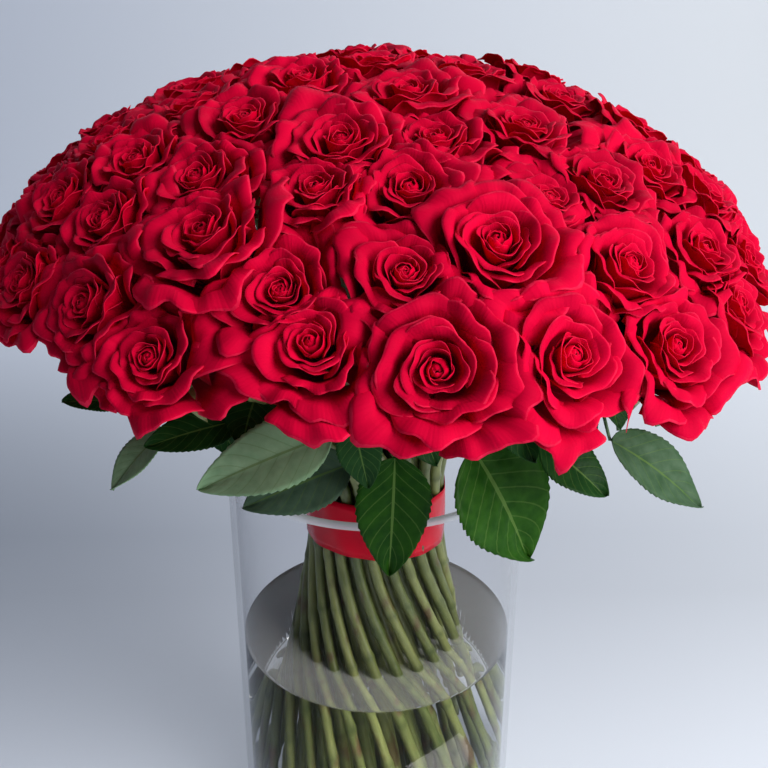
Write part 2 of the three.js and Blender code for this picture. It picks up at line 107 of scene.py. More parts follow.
class Patchwork:
    """Many like grids in one mesh, bent into shape by formula.

    Every patch starts as the same flat grid, whose corners run from -1 to 1 across and from 0 to 1
    along, and the shaping is worked out for all its points at once.
    """

    def __init__(self, across: int, along: int) -> None:
        """Make the flat grid that each patch starts as.

        Args:
            across: Faces across a patch.
            along: Faces along a patch.
        """
        self.across = across
        self.along = along
        sample = bmesh.new()
        bmesh.ops.create_grid(sample, x_segments=across, y_segments=along, size=1.0)
        points = np.array([vert.co[:] for vert in sample.verts])
        sample.free()
        self.u = points[:, 0]
        self.v = (points[:, 1] + 1.0) / 2.0
        self.flat = np.stack([self.u / 2 + 0.5, self.v], axis=-1)
        self.places: list[np.ndarray] = []
        self.maps: list[np.ndarray] = []
        self.tones: list[np.ndarray] = []

    def add(self, places: np.ndarray, maps: np.ndarray, tone: np.ndarray) -> None:
        """Add shaped patches.

        Args:
            places: Points of the patches, (patches, points, 3).
            maps: Surface coordinates of the points, (patches, points, 2).
            tone: A shade for each point, (patches, points).
        """
        self.places.append(places)
        self.maps.append(maps)
        self.tones.append(tone)

    def add_one(self, places: np.ndarray, tone: float = 1.0) -> None:
        """Add one shaped patch of an even shade, with the flat grid as its surface coordinates."""
        self.add(places[None], self.flat[None], np.full((1, len(self.u)), tone))

    def mesh(self, name: str) -> bpy.types.Mesh:
        """Turn the patches into one mesh.

        Args:
            name: The mesh's name.

        Returns:
            The mesh, with a UV map named surface and a value named tone.
        """
        places = np.concatenate(self.places)
        maps = np.concatenate(self.maps).reshape(-1, 2)
        tones = np.concatenate(self.tones).reshape(-1)
        builder = bmesh.new()
        for _ in range(len(places)):
            bmesh.ops.create_grid(
                builder, x_segments=self.across, y_segments=self.along, size=1.0
            )
        mesh = bpy.data.meshes.new(name)
        builder.to_mesh(mesh)
        builder.free()
        mesh.vertices.foreach_set("co", places.astype(np.float32).ravel())
        corners = np.empty(len(mesh.loops), np.int32)
        mesh.loops.foreach_get("vertex_index", corners)
        layer = mesh.uv_layers.new(name="surface")
        layer.data.foreach_set("uv", maps[corners].astype(np.float32).ravel())
        shade = mesh.attributes.new("tone", "FLOAT", "POINT")
        shade.data.foreach_set("value", tones.astype(np.float32))
        mesh.polygons.foreach_set("use_smooth", [True] * len(mesh.polygons))
        mesh.update()
        return mesh

    def tube_mesh(self, name: str) -> bpy.types.Mesh:
        """Turn the patches into one mesh of closed tubes.

        Args:
            name: The mesh's name.

        Returns:
            The mesh, with its seams merged, its ends filled and its faces pointing outwards.
        """
        mesh = self.mesh(name)
        builder = bmesh.new()
        builder.from_mesh(mesh)
        bmesh.ops.remove_doubles(builder, verts=builder.verts, dist=TOUCHING)
        rims = [edge for edge in builder.edges if edge.is_boundary]
        bmesh.ops.holes_fill(builder, edges=rims, sides=0)
        bmesh.ops.recalc_face_normals(builder, faces=builder.faces)
        builder.to_mesh(mesh)
        builder.free()
        return mesh


def thicken(piece: bpy.types.Object, thickness: float, under: int = 0) -> None:
    """Give a sheet its thickness, half of it to each side.

    Args:
        piece: The sheet.
        thickness: How thick it becomes, in metres.
        under: How many material slots further on the under side's material lies.
    """
    shell = piece.modifiers.new("thickness", "SOLIDIFY")
    shell.thickness = thickness
    shell.offset = 0.0
    shell.material_offset = under


def place_piece(
    name: str,
    mesh: bpy.types.Mesh,
    materials: Sequence[bpy.types.Material],
    nodes: Sequence[str] = (),
) -> bpy.types.Object:
    """Put a finished mesh in the scene as a piece of the object.

    Args:
        name: The piece's name.
        mesh: Its mesh, in place.
        materials: Its materials, in the order of its slots.
        nodes: The solids that it stands for.

    Returns:
        The piece's object.
    """
    piece = bpy.data.objects.new(name, mesh)
    bpy.context.scene.collection.objects.link(piece)
    for material in materials:
        mesh.materials.append(material)
    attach(piece, "root")
    if nodes:
        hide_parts(*nodes)
    LOG.info("%s: %d faces", name, len(mesh.polygons))
    return piece


# ---------------------------------------------------------------- finishes


class Sketch:
    """A material's node tree, with its main shader ready."""

    def __init__(self, name: str) -> None:
        """Start a material with nothing in it but a Principled shader.

        Args:
            name: The material's name.
        """
        self.material = bpy.data.materials.new(name)
        self.material.use_nodes = True
        self.tree = self.material.node_tree
        self.tree.nodes.clear()
        self.shader = self.node("BsdfPrincipled")
        self.output = self.node("OutputMaterial")
        self.link(self.shader.outputs[0], self.output.inputs[0])

    def node(self, kind: str) -> bpy.types.Node:
        """Add a node, by its type's name without the ShaderNode before it."""
        return self.tree.nodes.new(f"ShaderNode{kind}")

    def link(self, source: Socket, target: Socket) -> None:
        """Join two sockets."""
        self.tree.links.new(source, target)

    def set(self, **values: object) -> None:
        """Set sockets of the main shader, with underscores for the spaces in their names."""
        for name, value in values.items():
            self.shader.inputs[name.replace("_", " ")].default_value = value

    def surface(self, scale: Pair = (1.0, 1.0)) -> Socket:
        """Give the surface coordinates.

        Args:
            scale: How they are stretched across and along.

        Returns:
            The coordinates.
        """
        source = self.node("UVMap")
        source.uv_map = "surface"
        return self._stretched(source.outputs[0], (*scale, 1.0))

    def place(self, scale: Triple = (1.0, 1.0, 1.0)) -> Socket:
        """Give the place on the object, in metres, stretched by a scale."""
        return self._stretched(self.node("TexCoord").outputs["Object"], scale)

    def _stretched(self, vector: Socket, scale: Triple) -> Socket:
        """Stretch a vector.

        Args:
            vector: The vector.
            scale: How much, on each axis.

        Returns:
            The stretched vector.
        """
        mapping = self.node("Mapping")
        mapping.inputs["Scale"].default_value = scale
        self.link(vector, mapping.inputs[0])
        return mapping.outputs[0]

    def part(self, vector: Socket, axis: int) -> Socket:
        """Give one coordinate of a vector.

        Args:
            vector: The vector.
            axis: Which coordinate, from 0.

        Returns:
            The coordinate.
        """
        node = self.node("SeparateXYZ")
        self.link(vector, node.inputs[0])
        return node.outputs[axis]

    def aside(self, across: Socket) -> Socket:
        """Give how far a surface coordinate lies from the middle line."""
        return self.maths("ABSOLUTE", self.maths("SUBTRACT", across, 0.5))

    def tone(self) -> Socket:
        """Give the shade that the mesh carries.

        Returns:
            A value from 0 to 1.
        """
        node = self.node("Attribute")
        node.attribute_name = "tone"
        return node.outputs["Fac"]

    def noise(self, vector: Socket, scale: float, detail: float) -> Socket:
        """Give a soft noise.

        Args:
            vector: Where it is read.
            scale: How fine it is.
            detail: How many finer layers it has.

        Returns:
            A value from 0 to 1.
        """
        node = self.node("TexNoise")
        node.inputs["Scale"].default_value = scale
        node.inputs["Detail"].default_value = detail
        self.link(vector, node.inputs["Vector"])
        return node.outputs["Fac"]

    def maths(self, kind: str, first: "Socket | float", second: "Socket | float" = 0.0) -> Socket:
        """Give the result of a sum on one or two values.

        Args:
            kind: The operation's name, such as MULTIPLY.
            first: The first value, as a socket or a number.
            second: The second value, as a socket or a number.

        Returns:
            The result.
        """
        node = self.node("Math")
        node.operation = kind
        for source, target in ((first, node.inputs[0]), (second, node.inputs[1])):
            if isinstance(source, (int, float)):
                target.default_value = source
            else:
                self.link(source, target)
        return node.outputs[0]

    def ramp(self, value: Socket, stops: Sequence[tuple[float, Triple]]) -> Socket:
        """Give a colour that changes with a value.

        Args:
            value: What it follows.
            stops: Values and their colours, in order.

        Returns:
            The colour.
        """
        node = self.node("ValToRGB")
        marks = node.color_ramp.elements
        while len(marks) < len(stops):
            marks.new(1.0)
        for mark, (place, colour) in zip(marks, stops):
            mark.position = place
            mark.color = (*colour, 1.0)
        self.link(value, node.inputs[0])
        return node.outputs[0]

    def greys(self, value: Socket, stops: Sequence[Pair]) -> Socket:
        """Give a grey that changes with a value, by stops of a value and how light it is."""
        return self.ramp(value, [(place, (light,) * 3) for place, light in stops])

    def blend(
        self, share: "Socket | float", first: Socket, second: "Socket | Triple", kind: str = "MIX"
    ) -> Socket:
        """Mix two colours.

        Args:
            share: How much of the second there is, as a socket or a number.
            first: The first colour.
            second: The second colour.
            kind: How they mix.

        Returns:
            The mixed colour.
        """
        node = self.node("Mix")
        node.data_type = "RGBA"
        node.blend_type = kind
        factor, one, other = node.inputs[0], node.inputs[6], node.inputs[7]
        if isinstance(share, float):
            factor.default_value = share
        else:
            self.link(share, factor)
        self.link(first, one)
        if isinstance(second, tuple):
            other.default_value = (*second, 1.0)
        else:
            self.link(second, other)
        return node.outputs[2]

    def relief(self, value: Socket, strength: float, height: float) -> None:
        """Let a value raise the surface.

        Args:
            value: The value.
            strength: How much of it is used.
            height: How high a value of 1 stands, in metres.
        """
        node = self.node("Bump")
        node.inputs["Strength"].default_value = strength
        node.inputs["Distance"].default_value = height
        self.link(value, node.inputs["Height"])
        self.link(node.outputs[0], self.shader.inputs["Normal"])

    def see_through(self, share: Socket, tint: Triple, solid_last: bool) -> None:
        """Mix the main shader with clear nothing.

        Args:
            share: Where the mix changes over.
            tint: The colour that clear nothing passes.
            solid_last: Whether a share of 1 shows the main shader, and not what lies behind.
        """
        clear = self.node("BsdfTransparent")
        clear.inputs[0].default_value = (*tint, 1.0)
        mix = self.node("MixShader")
        self.link(share, mix.inputs[0])
        self.link(clear.outputs[0], mix.inputs[1 if solid_last else 2])
        self.link(self.shader.outputs[0], mix.inputs[2 if solid_last else 1])
        self.link(mix.outputs[0], self.output.inputs[0])

    def colour(self, source: Socket) -> None:
        """Let a colour be the surface's own."""
        self.link(source, self.shader.inputs["Base Color"])


@dataclass(frozen=True)
class PetalFinish:
    """One side of a velvety petal: painted shade deep at its base, red above, a thin pale painted
    highlight along its rim and brown worn spots by its edge.
    """

    name: str
    # The depth colour, at the petal's base down in the bloom, is painted shade.
    depth: Triple
    middle: Triple
    bright: Triple
    stops: Triple = (0.05, 0.5, 0.8)
    veins: Pair = (38.0, 2.4)
    vein_share: float = 0.45
    vein_height: float = 0.0005
    darkest: Triple = (0.10, 0.08, 0.12)
    # The rim colour is a painted highlight: a thin pale line where light catches the petal's edge.
    rim: Triple = (0.85, 0.03, 0.09)
    rim_highlight_starts: float = 0.995
    rim_highlight_wanders: float = 0.03
    rim_highlight_grain: float = 160.0
    rim_highlight_fades: float = 1.6
    browned: Triple = (0.16, 0.03, 0.015)
    browned_grain: float = 70.0
    browned_from: float = 0.74
    browned_beyond: float = 0.95
    browned_share: float = 0.8

    def make(self) -> bpy.types.Material:
        """Build the material.

        Returns:
            The finished material.
        """
        sketch = Sketch(self.name)
        surface = sketch.surface()
        along = sketch.part(surface, 1)
        body = sketch.ramp(along, list(zip(self.stops, (self.depth, self.middle, self.bright))))
        veins = sketch.noise(sketch.surface(self.veins), scale=1.0, detail=2.0)
        veined = sketch.blend(sketch.maths("MULTIPLY", veins, self.vein_share), body, self.middle)
        # The mesh's tone darkens the colour towards darkest: random shade, and painted shade deep
        # in the bloom.
        shade = sketch.ramp(sketch.tone(), [(0.0, self.darkest), (1.0, WHITE)])
        toned = sketch.blend(1.0, veined, shade, "MULTIPLY")

        # A thin painted highlight along the rim, broken up by noise.
        side = sketch.maths("ADD", sketch.aside(sketch.part(surface, 0)), 0.5)
        to_rim = sketch.maths("MAXIMUM", along, side)
        uneven = sketch.noise(sketch.place(), self.rim_highlight_grain, detail=2.0)
        reach = sketch.maths("ADD", to_rim, sketch.maths("MULTIPLY", uneven, self.rim_highlight_wanders))
        rim = sketch.maths("GREATER_THAN", reach, self.rim_highlight_starts)
        rim = sketch.maths("MULTIPLY", rim, sketch.maths("POWER", uneven, self.rim_highlight_fades))
        edged = sketch.blend(rim, toned, self.rim)
        spots = sketch.noise(sketch.place(), self.browned_grain, detail=3.0)
        worn = sketch.maths("GREATER_THAN", spots, self.browned_from)
        outer = sketch.maths("GREATER_THAN", to_rim, self.browned_beyond)
        worn = sketch.maths("MULTIPLY", sketch.maths("MULTIPLY", worn, outer), self.browned_share)
        sketch.colour(sketch.blend(worn, edged, self.browned))
        sketch.relief(veins, strength=0.5, height=self.vein_height)
        sketch.set(Roughness=0.55, Sheen_Weight=0.02, Sheen_Roughness=0.45)
        sketch.set(Sheen_Tint=(1.0, 0.05, 0.25, 1.0), Specular_IOR_Level=0.03)
        sketch.set(Specular_Tint=(1.0, 0.25, 0.45, 1.0))
        return sketch.material


class LeafTone(Enum):
    """How a leaf is coloured: the dark and light ends of its blade's mottle. FRESH is the plain
    green; the others are copies of it made lighter or darker for how much light each leaf gets:
    LIT, PALE and the grey one are painted light, SHADED and DEEP painted shade.
    """

    FRESH = ((0.009, 0.050, 0.003), (0.024, 0.090, 0.007))
    SHADED = ((0.004, 0.034, 0.001), (0.013, 0.062, 0.002))
    DEEP = ((0.006, 0.034, 0.007), (0.015, 0.060, 0.012))
    LIT = ((0.036, 0.084, 0.038), (0.072, 0.136, 0.076))
    # Much lighter than the others: painted light.
    GREYED = ((0.200, 0.350, 0.195), (0.280, 0.450, 0.265))
    PALE = ((0.052, 0.098, 0.062), (0.078, 0.132, 0.086))


@dataclass(frozen=True)
class LeafFinish:
    """Satin leaf with a pale midrib and side veins."""

    tone: LeafTone
    grain: float = 130.0
    vein: Triple = (0.11, 0.20, 0.045)
    vein_share: float = 0.6
    vein_height: float = 0.0005
    rib_width: float = 0.018
    side_width: float = 0.09
    side_share: float = 0.45

    def make(self) -> bpy.types.Material:
        """Build the material.

        Returns:
            The finished material.
        """
        sketch = Sketch(f"leaf_{self.tone.name.lower()}")
        dark, light = self.tone.value
        mottle = sketch.noise(sketch.place(), self.grain, detail=4.0)
        body = sketch.ramp(mottle, [(0.3, dark), (0.75, light)])
        surface = sketch.surface()
        aside = sketch.aside(sketch.part(surface, 0))
        rib = sketch.maths("LESS_THAN", aside, self.rib_width)
        # The edge lies at 0.5 here and at 1 in the blade's own quilting, so the slope is doubled.
        row = sketch.maths("MULTIPLY", sketch.part(surface, 1), SIDE_VEINS)
        lean = sketch.maths("MULTIPLY", aside, VEIN_SLOPE * 2.0)
        wave = sketch.maths("FRACT", sketch.maths("SUBTRACT", row, lean))
        side = sketch.maths("LESS_THAN", wave, self.side_width)
        lines = sketch.maths("MAXIMUM", rib, sketch.maths("MULTIPLY", side, self.side_share))
        share = sketch.maths("MULTIPLY", lines, self.vein_share)
        sketch.colour(sketch.blend(share, body, self.vein))
        sketch.relief(sketch.maths("ADD", mottle, lines), strength=0.4, height=self.vein_height)
        sketch.set(Roughness=0.38, Specular_IOR_Level=0.06)
        return sketch.material


@dataclass(frozen=True)
class LeafBackFinish:
    """The under side of every leaf, paler and duller."""

    dark: Triple = (0.085, 0.165, 0.080)
    light: Triple = (0.135, 0.235, 0.115)
    grain: float = 150.0
    height: float = 0.0004

    def make(self) -> bpy.types.Material:
        """Build the material.

        Returns:
            The finished material.
        """
        sketch = Sketch("leaf_under")
        mottle = sketch.noise(sketch.place(), self.grain, detail=4.0)
        sketch.colour(sketch.ramp(mottle, [(0.3, self.dark), (0.7, self.light)]))
        sketch.relief(mottle, strength=0.3, height=self.height)
        sketch.set(Roughness=0.6)
        return sketch.material


@dataclass(frozen=True)
class StemFinish:
    """Olive bark, streaked lengthwise, with brown scars where leaves and thorns came off."""

    dark: Triple = (0.060, 0.085, 0.018)
    light: Triple = (0.228, 0.252, 0.078)
    streaks: Pair = (7.0, 5.0)
    streak_height: float = 0.0006
    scar: Triple = (0.085, 0.035, 0.016)
    scar_grain: float = 62.0
    scar_length: Triple = (1.0, 1.0, 0.55)
    scar_stops: tuple[Pair, Pair] = ((0.56, 0.0), (0.68, 1.0))
    scar_share: float = 0.8

    def make(self) -> bpy.types.Material:
        """Build the material.

        Returns:
            The finished material.
        """
        sketch = Sketch("stem_bark")
        streak = sketch.noise(sketch.surface(self.streaks), scale=1.0, detail=4.0)
        # The mesh's tone, which carries painted shade on the inner stems, lightens or darkens the
        # bark.
        mixed = sketch.maths("MULTIPLY", sketch.maths("ADD", streak, sketch.tone()), 0.5)
        bark = sketch.ramp(mixed, [(0.25, self.dark), (0.75, self.light)])
        patches = sketch.noise(sketch.place(self.scar_length), self.scar_grain, detail=3.0)
        scars = sketch.greys(patches, self.scar_stops)
        share = sketch.maths("MULTIPLY", scars, self.scar_share)
        sketch.colour(sketch.blend(share, bark, self.scar))
        sketch.relief(streak, strength=0.4, height=self.streak_height)
        sketch.set(Roughness=0.42)
        return sketch.material


@dataclass(frozen=True)
class RibbonFinish:
    """Glossy red ribbon with a fine weave across it."""

    dark: Triple = (0.42, 0.0, 0.014)
    light: Triple = (0.66, 0.002, 0.022)
    weave: Pair = (700.0, 6.0)
    weave_height: float = 0.0004
    clouds: Pair = (9.0, 1.5)

    def make(self) -> bpy.types.Material:
        """Build the material.

        Returns:
            The finished material.
        """
        sketch = Sketch("ribbon_gloss")
        weave = sketch.noise(sketch.surface(self.weave), scale=1.0, detail=1.0)
        cloud = sketch.noise(sketch.surface(self.clouds), scale=1.0, detail=2.0)
        sketch.colour(sketch.ramp(cloud, [(0.3, self.dark), (0.7, self.light)]))
        sketch.relief(sketch.maths("ADD", weave, cloud), strength=0.12, height=self.weave_height)
        sketch.set(Roughness=0.24, Specular_IOR_Level=0.35, Specular_Tint=(1.0, 0.11, 0.10, 1.0))
        return sketch.material


@dataclass(frozen=True)
class GlassFinish:
    """Clear polished glass wall: it hides more of what is behind it where it is seen edge on."""

    tint: Triple = (0.978, 0.978, 0.982)
    # The grey face colour, seen where the glass is edge on, is a painted reflection.
    face: Triple = (0.50, 0.54, 0.60)
    edge_power: float = 5.0
    edge_share: float = 0.7
    least: float = 0.003

    def make(self) -> bpy.types.Material:
        """Build the material.

        Returns:
            The finished material.
        """
        sketch = Sketch("clear_glass")
        edge = sketch.node("LayerWeight")
        edge.inputs["Blend"].default_value = 0.5
        steep = sketch.maths("POWER", edge.outputs["Facing"], self.edge_power)
        share = sketch.maths("ADD", sketch.maths("MULTIPLY", steep, self.edge_share), self.least)
        sketch.see_through(share, self.tint, solid_last=True)
        sketch.set(Base_Color=(*self.face, 1.0), Roughness=0.04, Specular_IOR_Level=0.6)
        return sketch.material


@dataclass(frozen=True)
class GlassRimFinish:
    """The glass's polished rim, which gathers the light and looks white. Its white colour and faint
    glow are painted light.
    """

    light: Triple = (0.70, 0.71, 0.75)
    dark: Triple = (0.58, 0.60, 0.64)
    grain: float = 30.0

    def make(self) -> bpy.types.Material:
        """Build the material.

        Returns:
            The finished material.
        """
        sketch = Sketch("glass_rim")
        uneven = sketch.noise(sketch.place(), self.grain, detail=2.0)
        sketch.colour(sketch.ramp(uneven, [(0.2, self.dark), (0.7, self.light)]))
        sketch.set(Roughness=0.12, Specular_IOR_Level=0.7, Alpha=0.82)
        # A faint glow: painted light.
        sketch.set(Emission_Color=(*self.light, 1.0), Emission_Strength=0.12)
        return sketch.material


@dataclass(frozen=True)
class WaterFinish:
    """Clear water that lets the lamps' light through. A veil makes it whiter and less clear; the
    whiteness is a painted reflection.
    """

    name: str
    veil: float
    tint: Triple = (0.95, 0.965, 0.96)
    bend: float = 1.33
    ripple: float = 0.03
    ripple_grain: float = 14.0
    ripple_height: float = 0.0006

    def make(self) -> bpy.types.Material:
        """Build the material.

        Returns:
            The finished material.
        """
        sketch = Sketch(self.name)
        ripples = sketch.noise(sketch.place(), self.ripple_grain, detail=2.0)
        sketch.relief(ripples, self.ripple, self.ripple_height)
        sketch.set(Base_Color=(*self.tint, 1.0), Roughness=0.0, IOR=self.bend)
        sketch.set(Transmission_Weight=1.0 - self.veil)
        rays = sketch.node("LightPath")
        sketch.see_through(rays.outputs["Is Shadow Ray"], self.tint, solid_last=False)
        return sketch.material


@dataclass(frozen=True)
class StudioFinish:
    """Plain pale paper of the studio, with painted shade: darker to the left, darker at one depth,
    and in a soft painted shadow band behind the vase.

    Stops along the depth are shares of 2 metres, from 1 metre before the vase to 1 behind it.
    """

    # Painted shade: darker to the left, lighter to the right.
    left: Triple = (0.52, 0.57, 0.67)
    right: Triple = (0.735, 0.775, 0.83)
    spread: float = 1.6
    # Painted shade: darker at one depth.
    dimmed: tuple[Pair, ...] = ((0.45, 1.0), (0.63, 0.76), (0.95, 1.0))
    shadow: Triple = (0.24, 0.27, 0.33)
    shadow_band: tuple[Pair, ...] = ((0.48, 0.0), (0.68, 1.0), (0.97, 0.0))
    shadow_ends: float = 0.45
    glow: float = 0.35

    def make(self) -> bpy.types.Material:
        """Build the material.

        Returns:
            The finished material.
        """
        sketch = Sketch("studio_paper")
        place = sketch.place()
        share = sketch.maths("DIVIDE", sketch.part(place, 0), self.spread)
        shade = sketch.ramp(sketch.maths("ADD", share, 0.5), [(0.0, self.left), (1.0, self.right)])
        depth = sketch.maths("ADD", sketch.maths("MULTIPLY", sketch.part(place, 1), 0.5), 0.5)
        lit = sketch.blend(1.0, shade, sketch.greys(depth, self.dimmed), "MULTIPLY")
        band = sketch.greys(depth, self.shadow_band)
        leftward = sketch.maths("SUBTRACT", self.shadow_ends, share)
        tinted = sketch.blend(sketch.maths("MULTIPLY", band, leftward), lit, self.shadow)
        sketch.colour(tinted)
        # The paper glows with its painted colour: painted light on top of the lamps'.
        sketch.link(tinted, sketch.shader.inputs["Emission Color"])
        sketch.set(Roughness=0.8, Specular_IOR_Level=0.1, Emission_Strength=self.glow)
        return sketch.material


# ---------------------------------------------------------------- where the roses are


@dataclass(frozen=True)
class Row:
    """A ring of roses on the dome: how far out it lies, its count and its first rose's angle."""

    reach: float
    count: int
    start: float


@dataclass(frozen=True)
class Rose:
    """One rose's place on the dome: where it would stand evenly, and where and how it stands."""

    number: int
    row_index: int
    place: int
    even_angle: float
    angle: float
    tilt: float
    size: float
    axis: Vector
    face: Vector


@dataclass
class Dome:
    """The egg-shaped dome that the blooms' faces lie on, and every rose's place on it."""

    radius: float = 0.233
    rise: float = 0.154
    centre: float = 0.385
    bloom_reach: float = 0.038
    fused: int = 3
    rows: tuple[Row, ...] = (
        Row(0.0, 1, 0.0),
        Row(0.054, 6, 17.0),
        Row(0.103, 12, -10.0),
        Row(0.147, 18, 6.5),
        Row(0.180, 22, 3.5),
        Row(0.210, 24, 7.2),
    )
    # How far the other roses stray: mm round, mm out, mm proud, and a share of the size.
    stray: tuple[float, float, float, float] = (4.0, 3.5, 2.0, 0.05)
    # The roses that face the viewer: degrees round, mm out, mm proud of the dome, and size.
    by_hand: dict[tuple[int, int], tuple[float, float, float, float]] = field(
        default_factory=lambda: {
            (5, 0): (0, -1, 4, 1.14),
            (5, 1): (0.6, 0, 1, 1.12),
            (5, 2): (1.4, 3, 0, 1.08),
            (5, 3): (3, 3, -1, 1.03),
            (5, 20): (-2, -2, 0, 1),
            (5, 21): (-1, -5, 1, 1.02),
            (5, 22): (-4, 1, 0, 0.92),
            (5, 23): (0.4, -6, -1, 0.95),
            (4, 0): (0.5, -5, -1, 1.02),
            (4, 1): (-2, -4, 4, 1.12),
            (4, 2): (0.4, 5, 1, 1.04),
            (4, 3): (2, 9, 0, 1),
            (4, 20): (2.8, -8, 3, 1.08),
            (4, 21): (0.7, 9, -2, 0.98),
            (3, 0): (0, -5, -1, 1.02),
            (3, 1): (4, 7, -2, 0.95),
            (3, 2): (-2, 6, 0, 1),
            (3, 3): (-4, 12, 0, 1),
            (3, 17): (2.5, -3, 1, 0.9),
            (2, 0): (1, 9, 1, 1.06),
            (2, 1): (-5, 4, -2, 0.95),
            (2, 2): (-7, 6, 0, 1),
            (1, 0): (0, 8, 1, 1.08),
        }
    )
    # How far each heavy front bloom nods down the dome, in mm.
    nods: dict[tuple[int, int], float] = field(
        default_factory=lambda: {
            (4, 0): 8.0, (4, 2): 9.0, (4, 3): 10.0, (5, 0): 5.5, (5, 1): 7.5, (5, 2): 8.5,
            (5, 3): 6.0, (5, 22): 4.5, (5, 23): 4.0,
        }
    )

    def roses(self) -> list[Rose]:
        """Work out every rose's place.

        Returns:
            The roses, from the top of the dome down.
        """
        places: list[Rose] = []
        for row_index, row in enumerate(self.rows):
            for place in range(row.count):
                places.append(self._nodded(self._rose(len(places), row_index, row, place)))
        return places

    def _nodded(self, rose: Rose) -> Rose:
        """Let a heavy front bloom hang a few millimetres down the dome.

        Args:
            rose: The rose as it stands on its solid.

        Returns:
            The same rose, hung lower if it is one of the heavy ones.
        """
        nod = self.nods.get((rose.row_index, rose.place), 0.0) * MM
        tilt = math.radians(rose.tilt)
        down = around(rose.angle, math.cos(tilt), -math.sin(tilt))
        return replace(rose, face=rose.face + nod * down)

    def _rose(self, number: int, row_index: int, row: Row, place: int) -> Rose:
        """Place one rose.

        Args:
            number: Its running number.
            row_index: Which row it is in.
            row: That row.
            place: Its place in the row.

        Returns:
            The placed rose.
        """
        round_mm, out_mm, proud_mm, share = self.stray
        if (row_index, place) in self.by_hand:
            turned, out, proud, size = self.by_hand[row_index, place]
        else:
            turned = (
                draw(number, 0) * round_mm * 180 / (math.pi * row.reach / MM) if row.reach else 0.0
            )
            out = draw(number, 1) * out_mm if row.reach else 0.0
            proud = draw(number, 2) * proud_mm
            size = 1 + draw(number, 3) * share
        even_angle = row.start + 360 * place / row.count
        angle = even_angle + turned
        reach = row.reach + out * MM
        height = self.centre + self.rise * math.sqrt(1 - (reach / self.radius) ** 2)
        tilt = math.degrees(
            math.atan2(reach / self.radius**2, (height - self.centre) / self.rise**2)
        )
        axis = around(angle, math.sin(math.radians(tilt)), math.cos(math.radians(tilt)))
        face = around(angle, reach, height) + axis * proud * MM
        return Rose(number, row_index, place, even_angle, angle, tilt, size, axis, face)


# ---------------------------------------------------------------- blooms


@dataclass(frozen=True)
class Ripple:
    """A wave across a petal: its height, the radians it runs through, and how chance shifts it."""

    height: float
    radians: float
    shift: float

    def at(self, u: np.ndarray, chance: np.ndarray) -> np.ndarray:
        """Give how high the wave stands at places across the petals."""
        return self.height * np.sin(self.radians * u + self.shift * chance)


@dataclass(frozen=True)
class Stage:
    """How a petal stands when it has opened this far, as shares of the bloom's reach.

    Its middle line is one curve drawn by five (out, up) points, from its base over its belly, wall
    and crest to its lip. The half width is in degrees round the bloom.
    """

    opened: float
    base: Pair
    belly: Pair
    wall: Pair
    crest: Pair
    lip: Pair
    half_width: float
    curl: float
    ruffle: float

    def points(self) -> tuple[Pair, ...]:
        """Give the five points in order."""
        return self.base, self.belly, self.wall, self.crest, self.lip


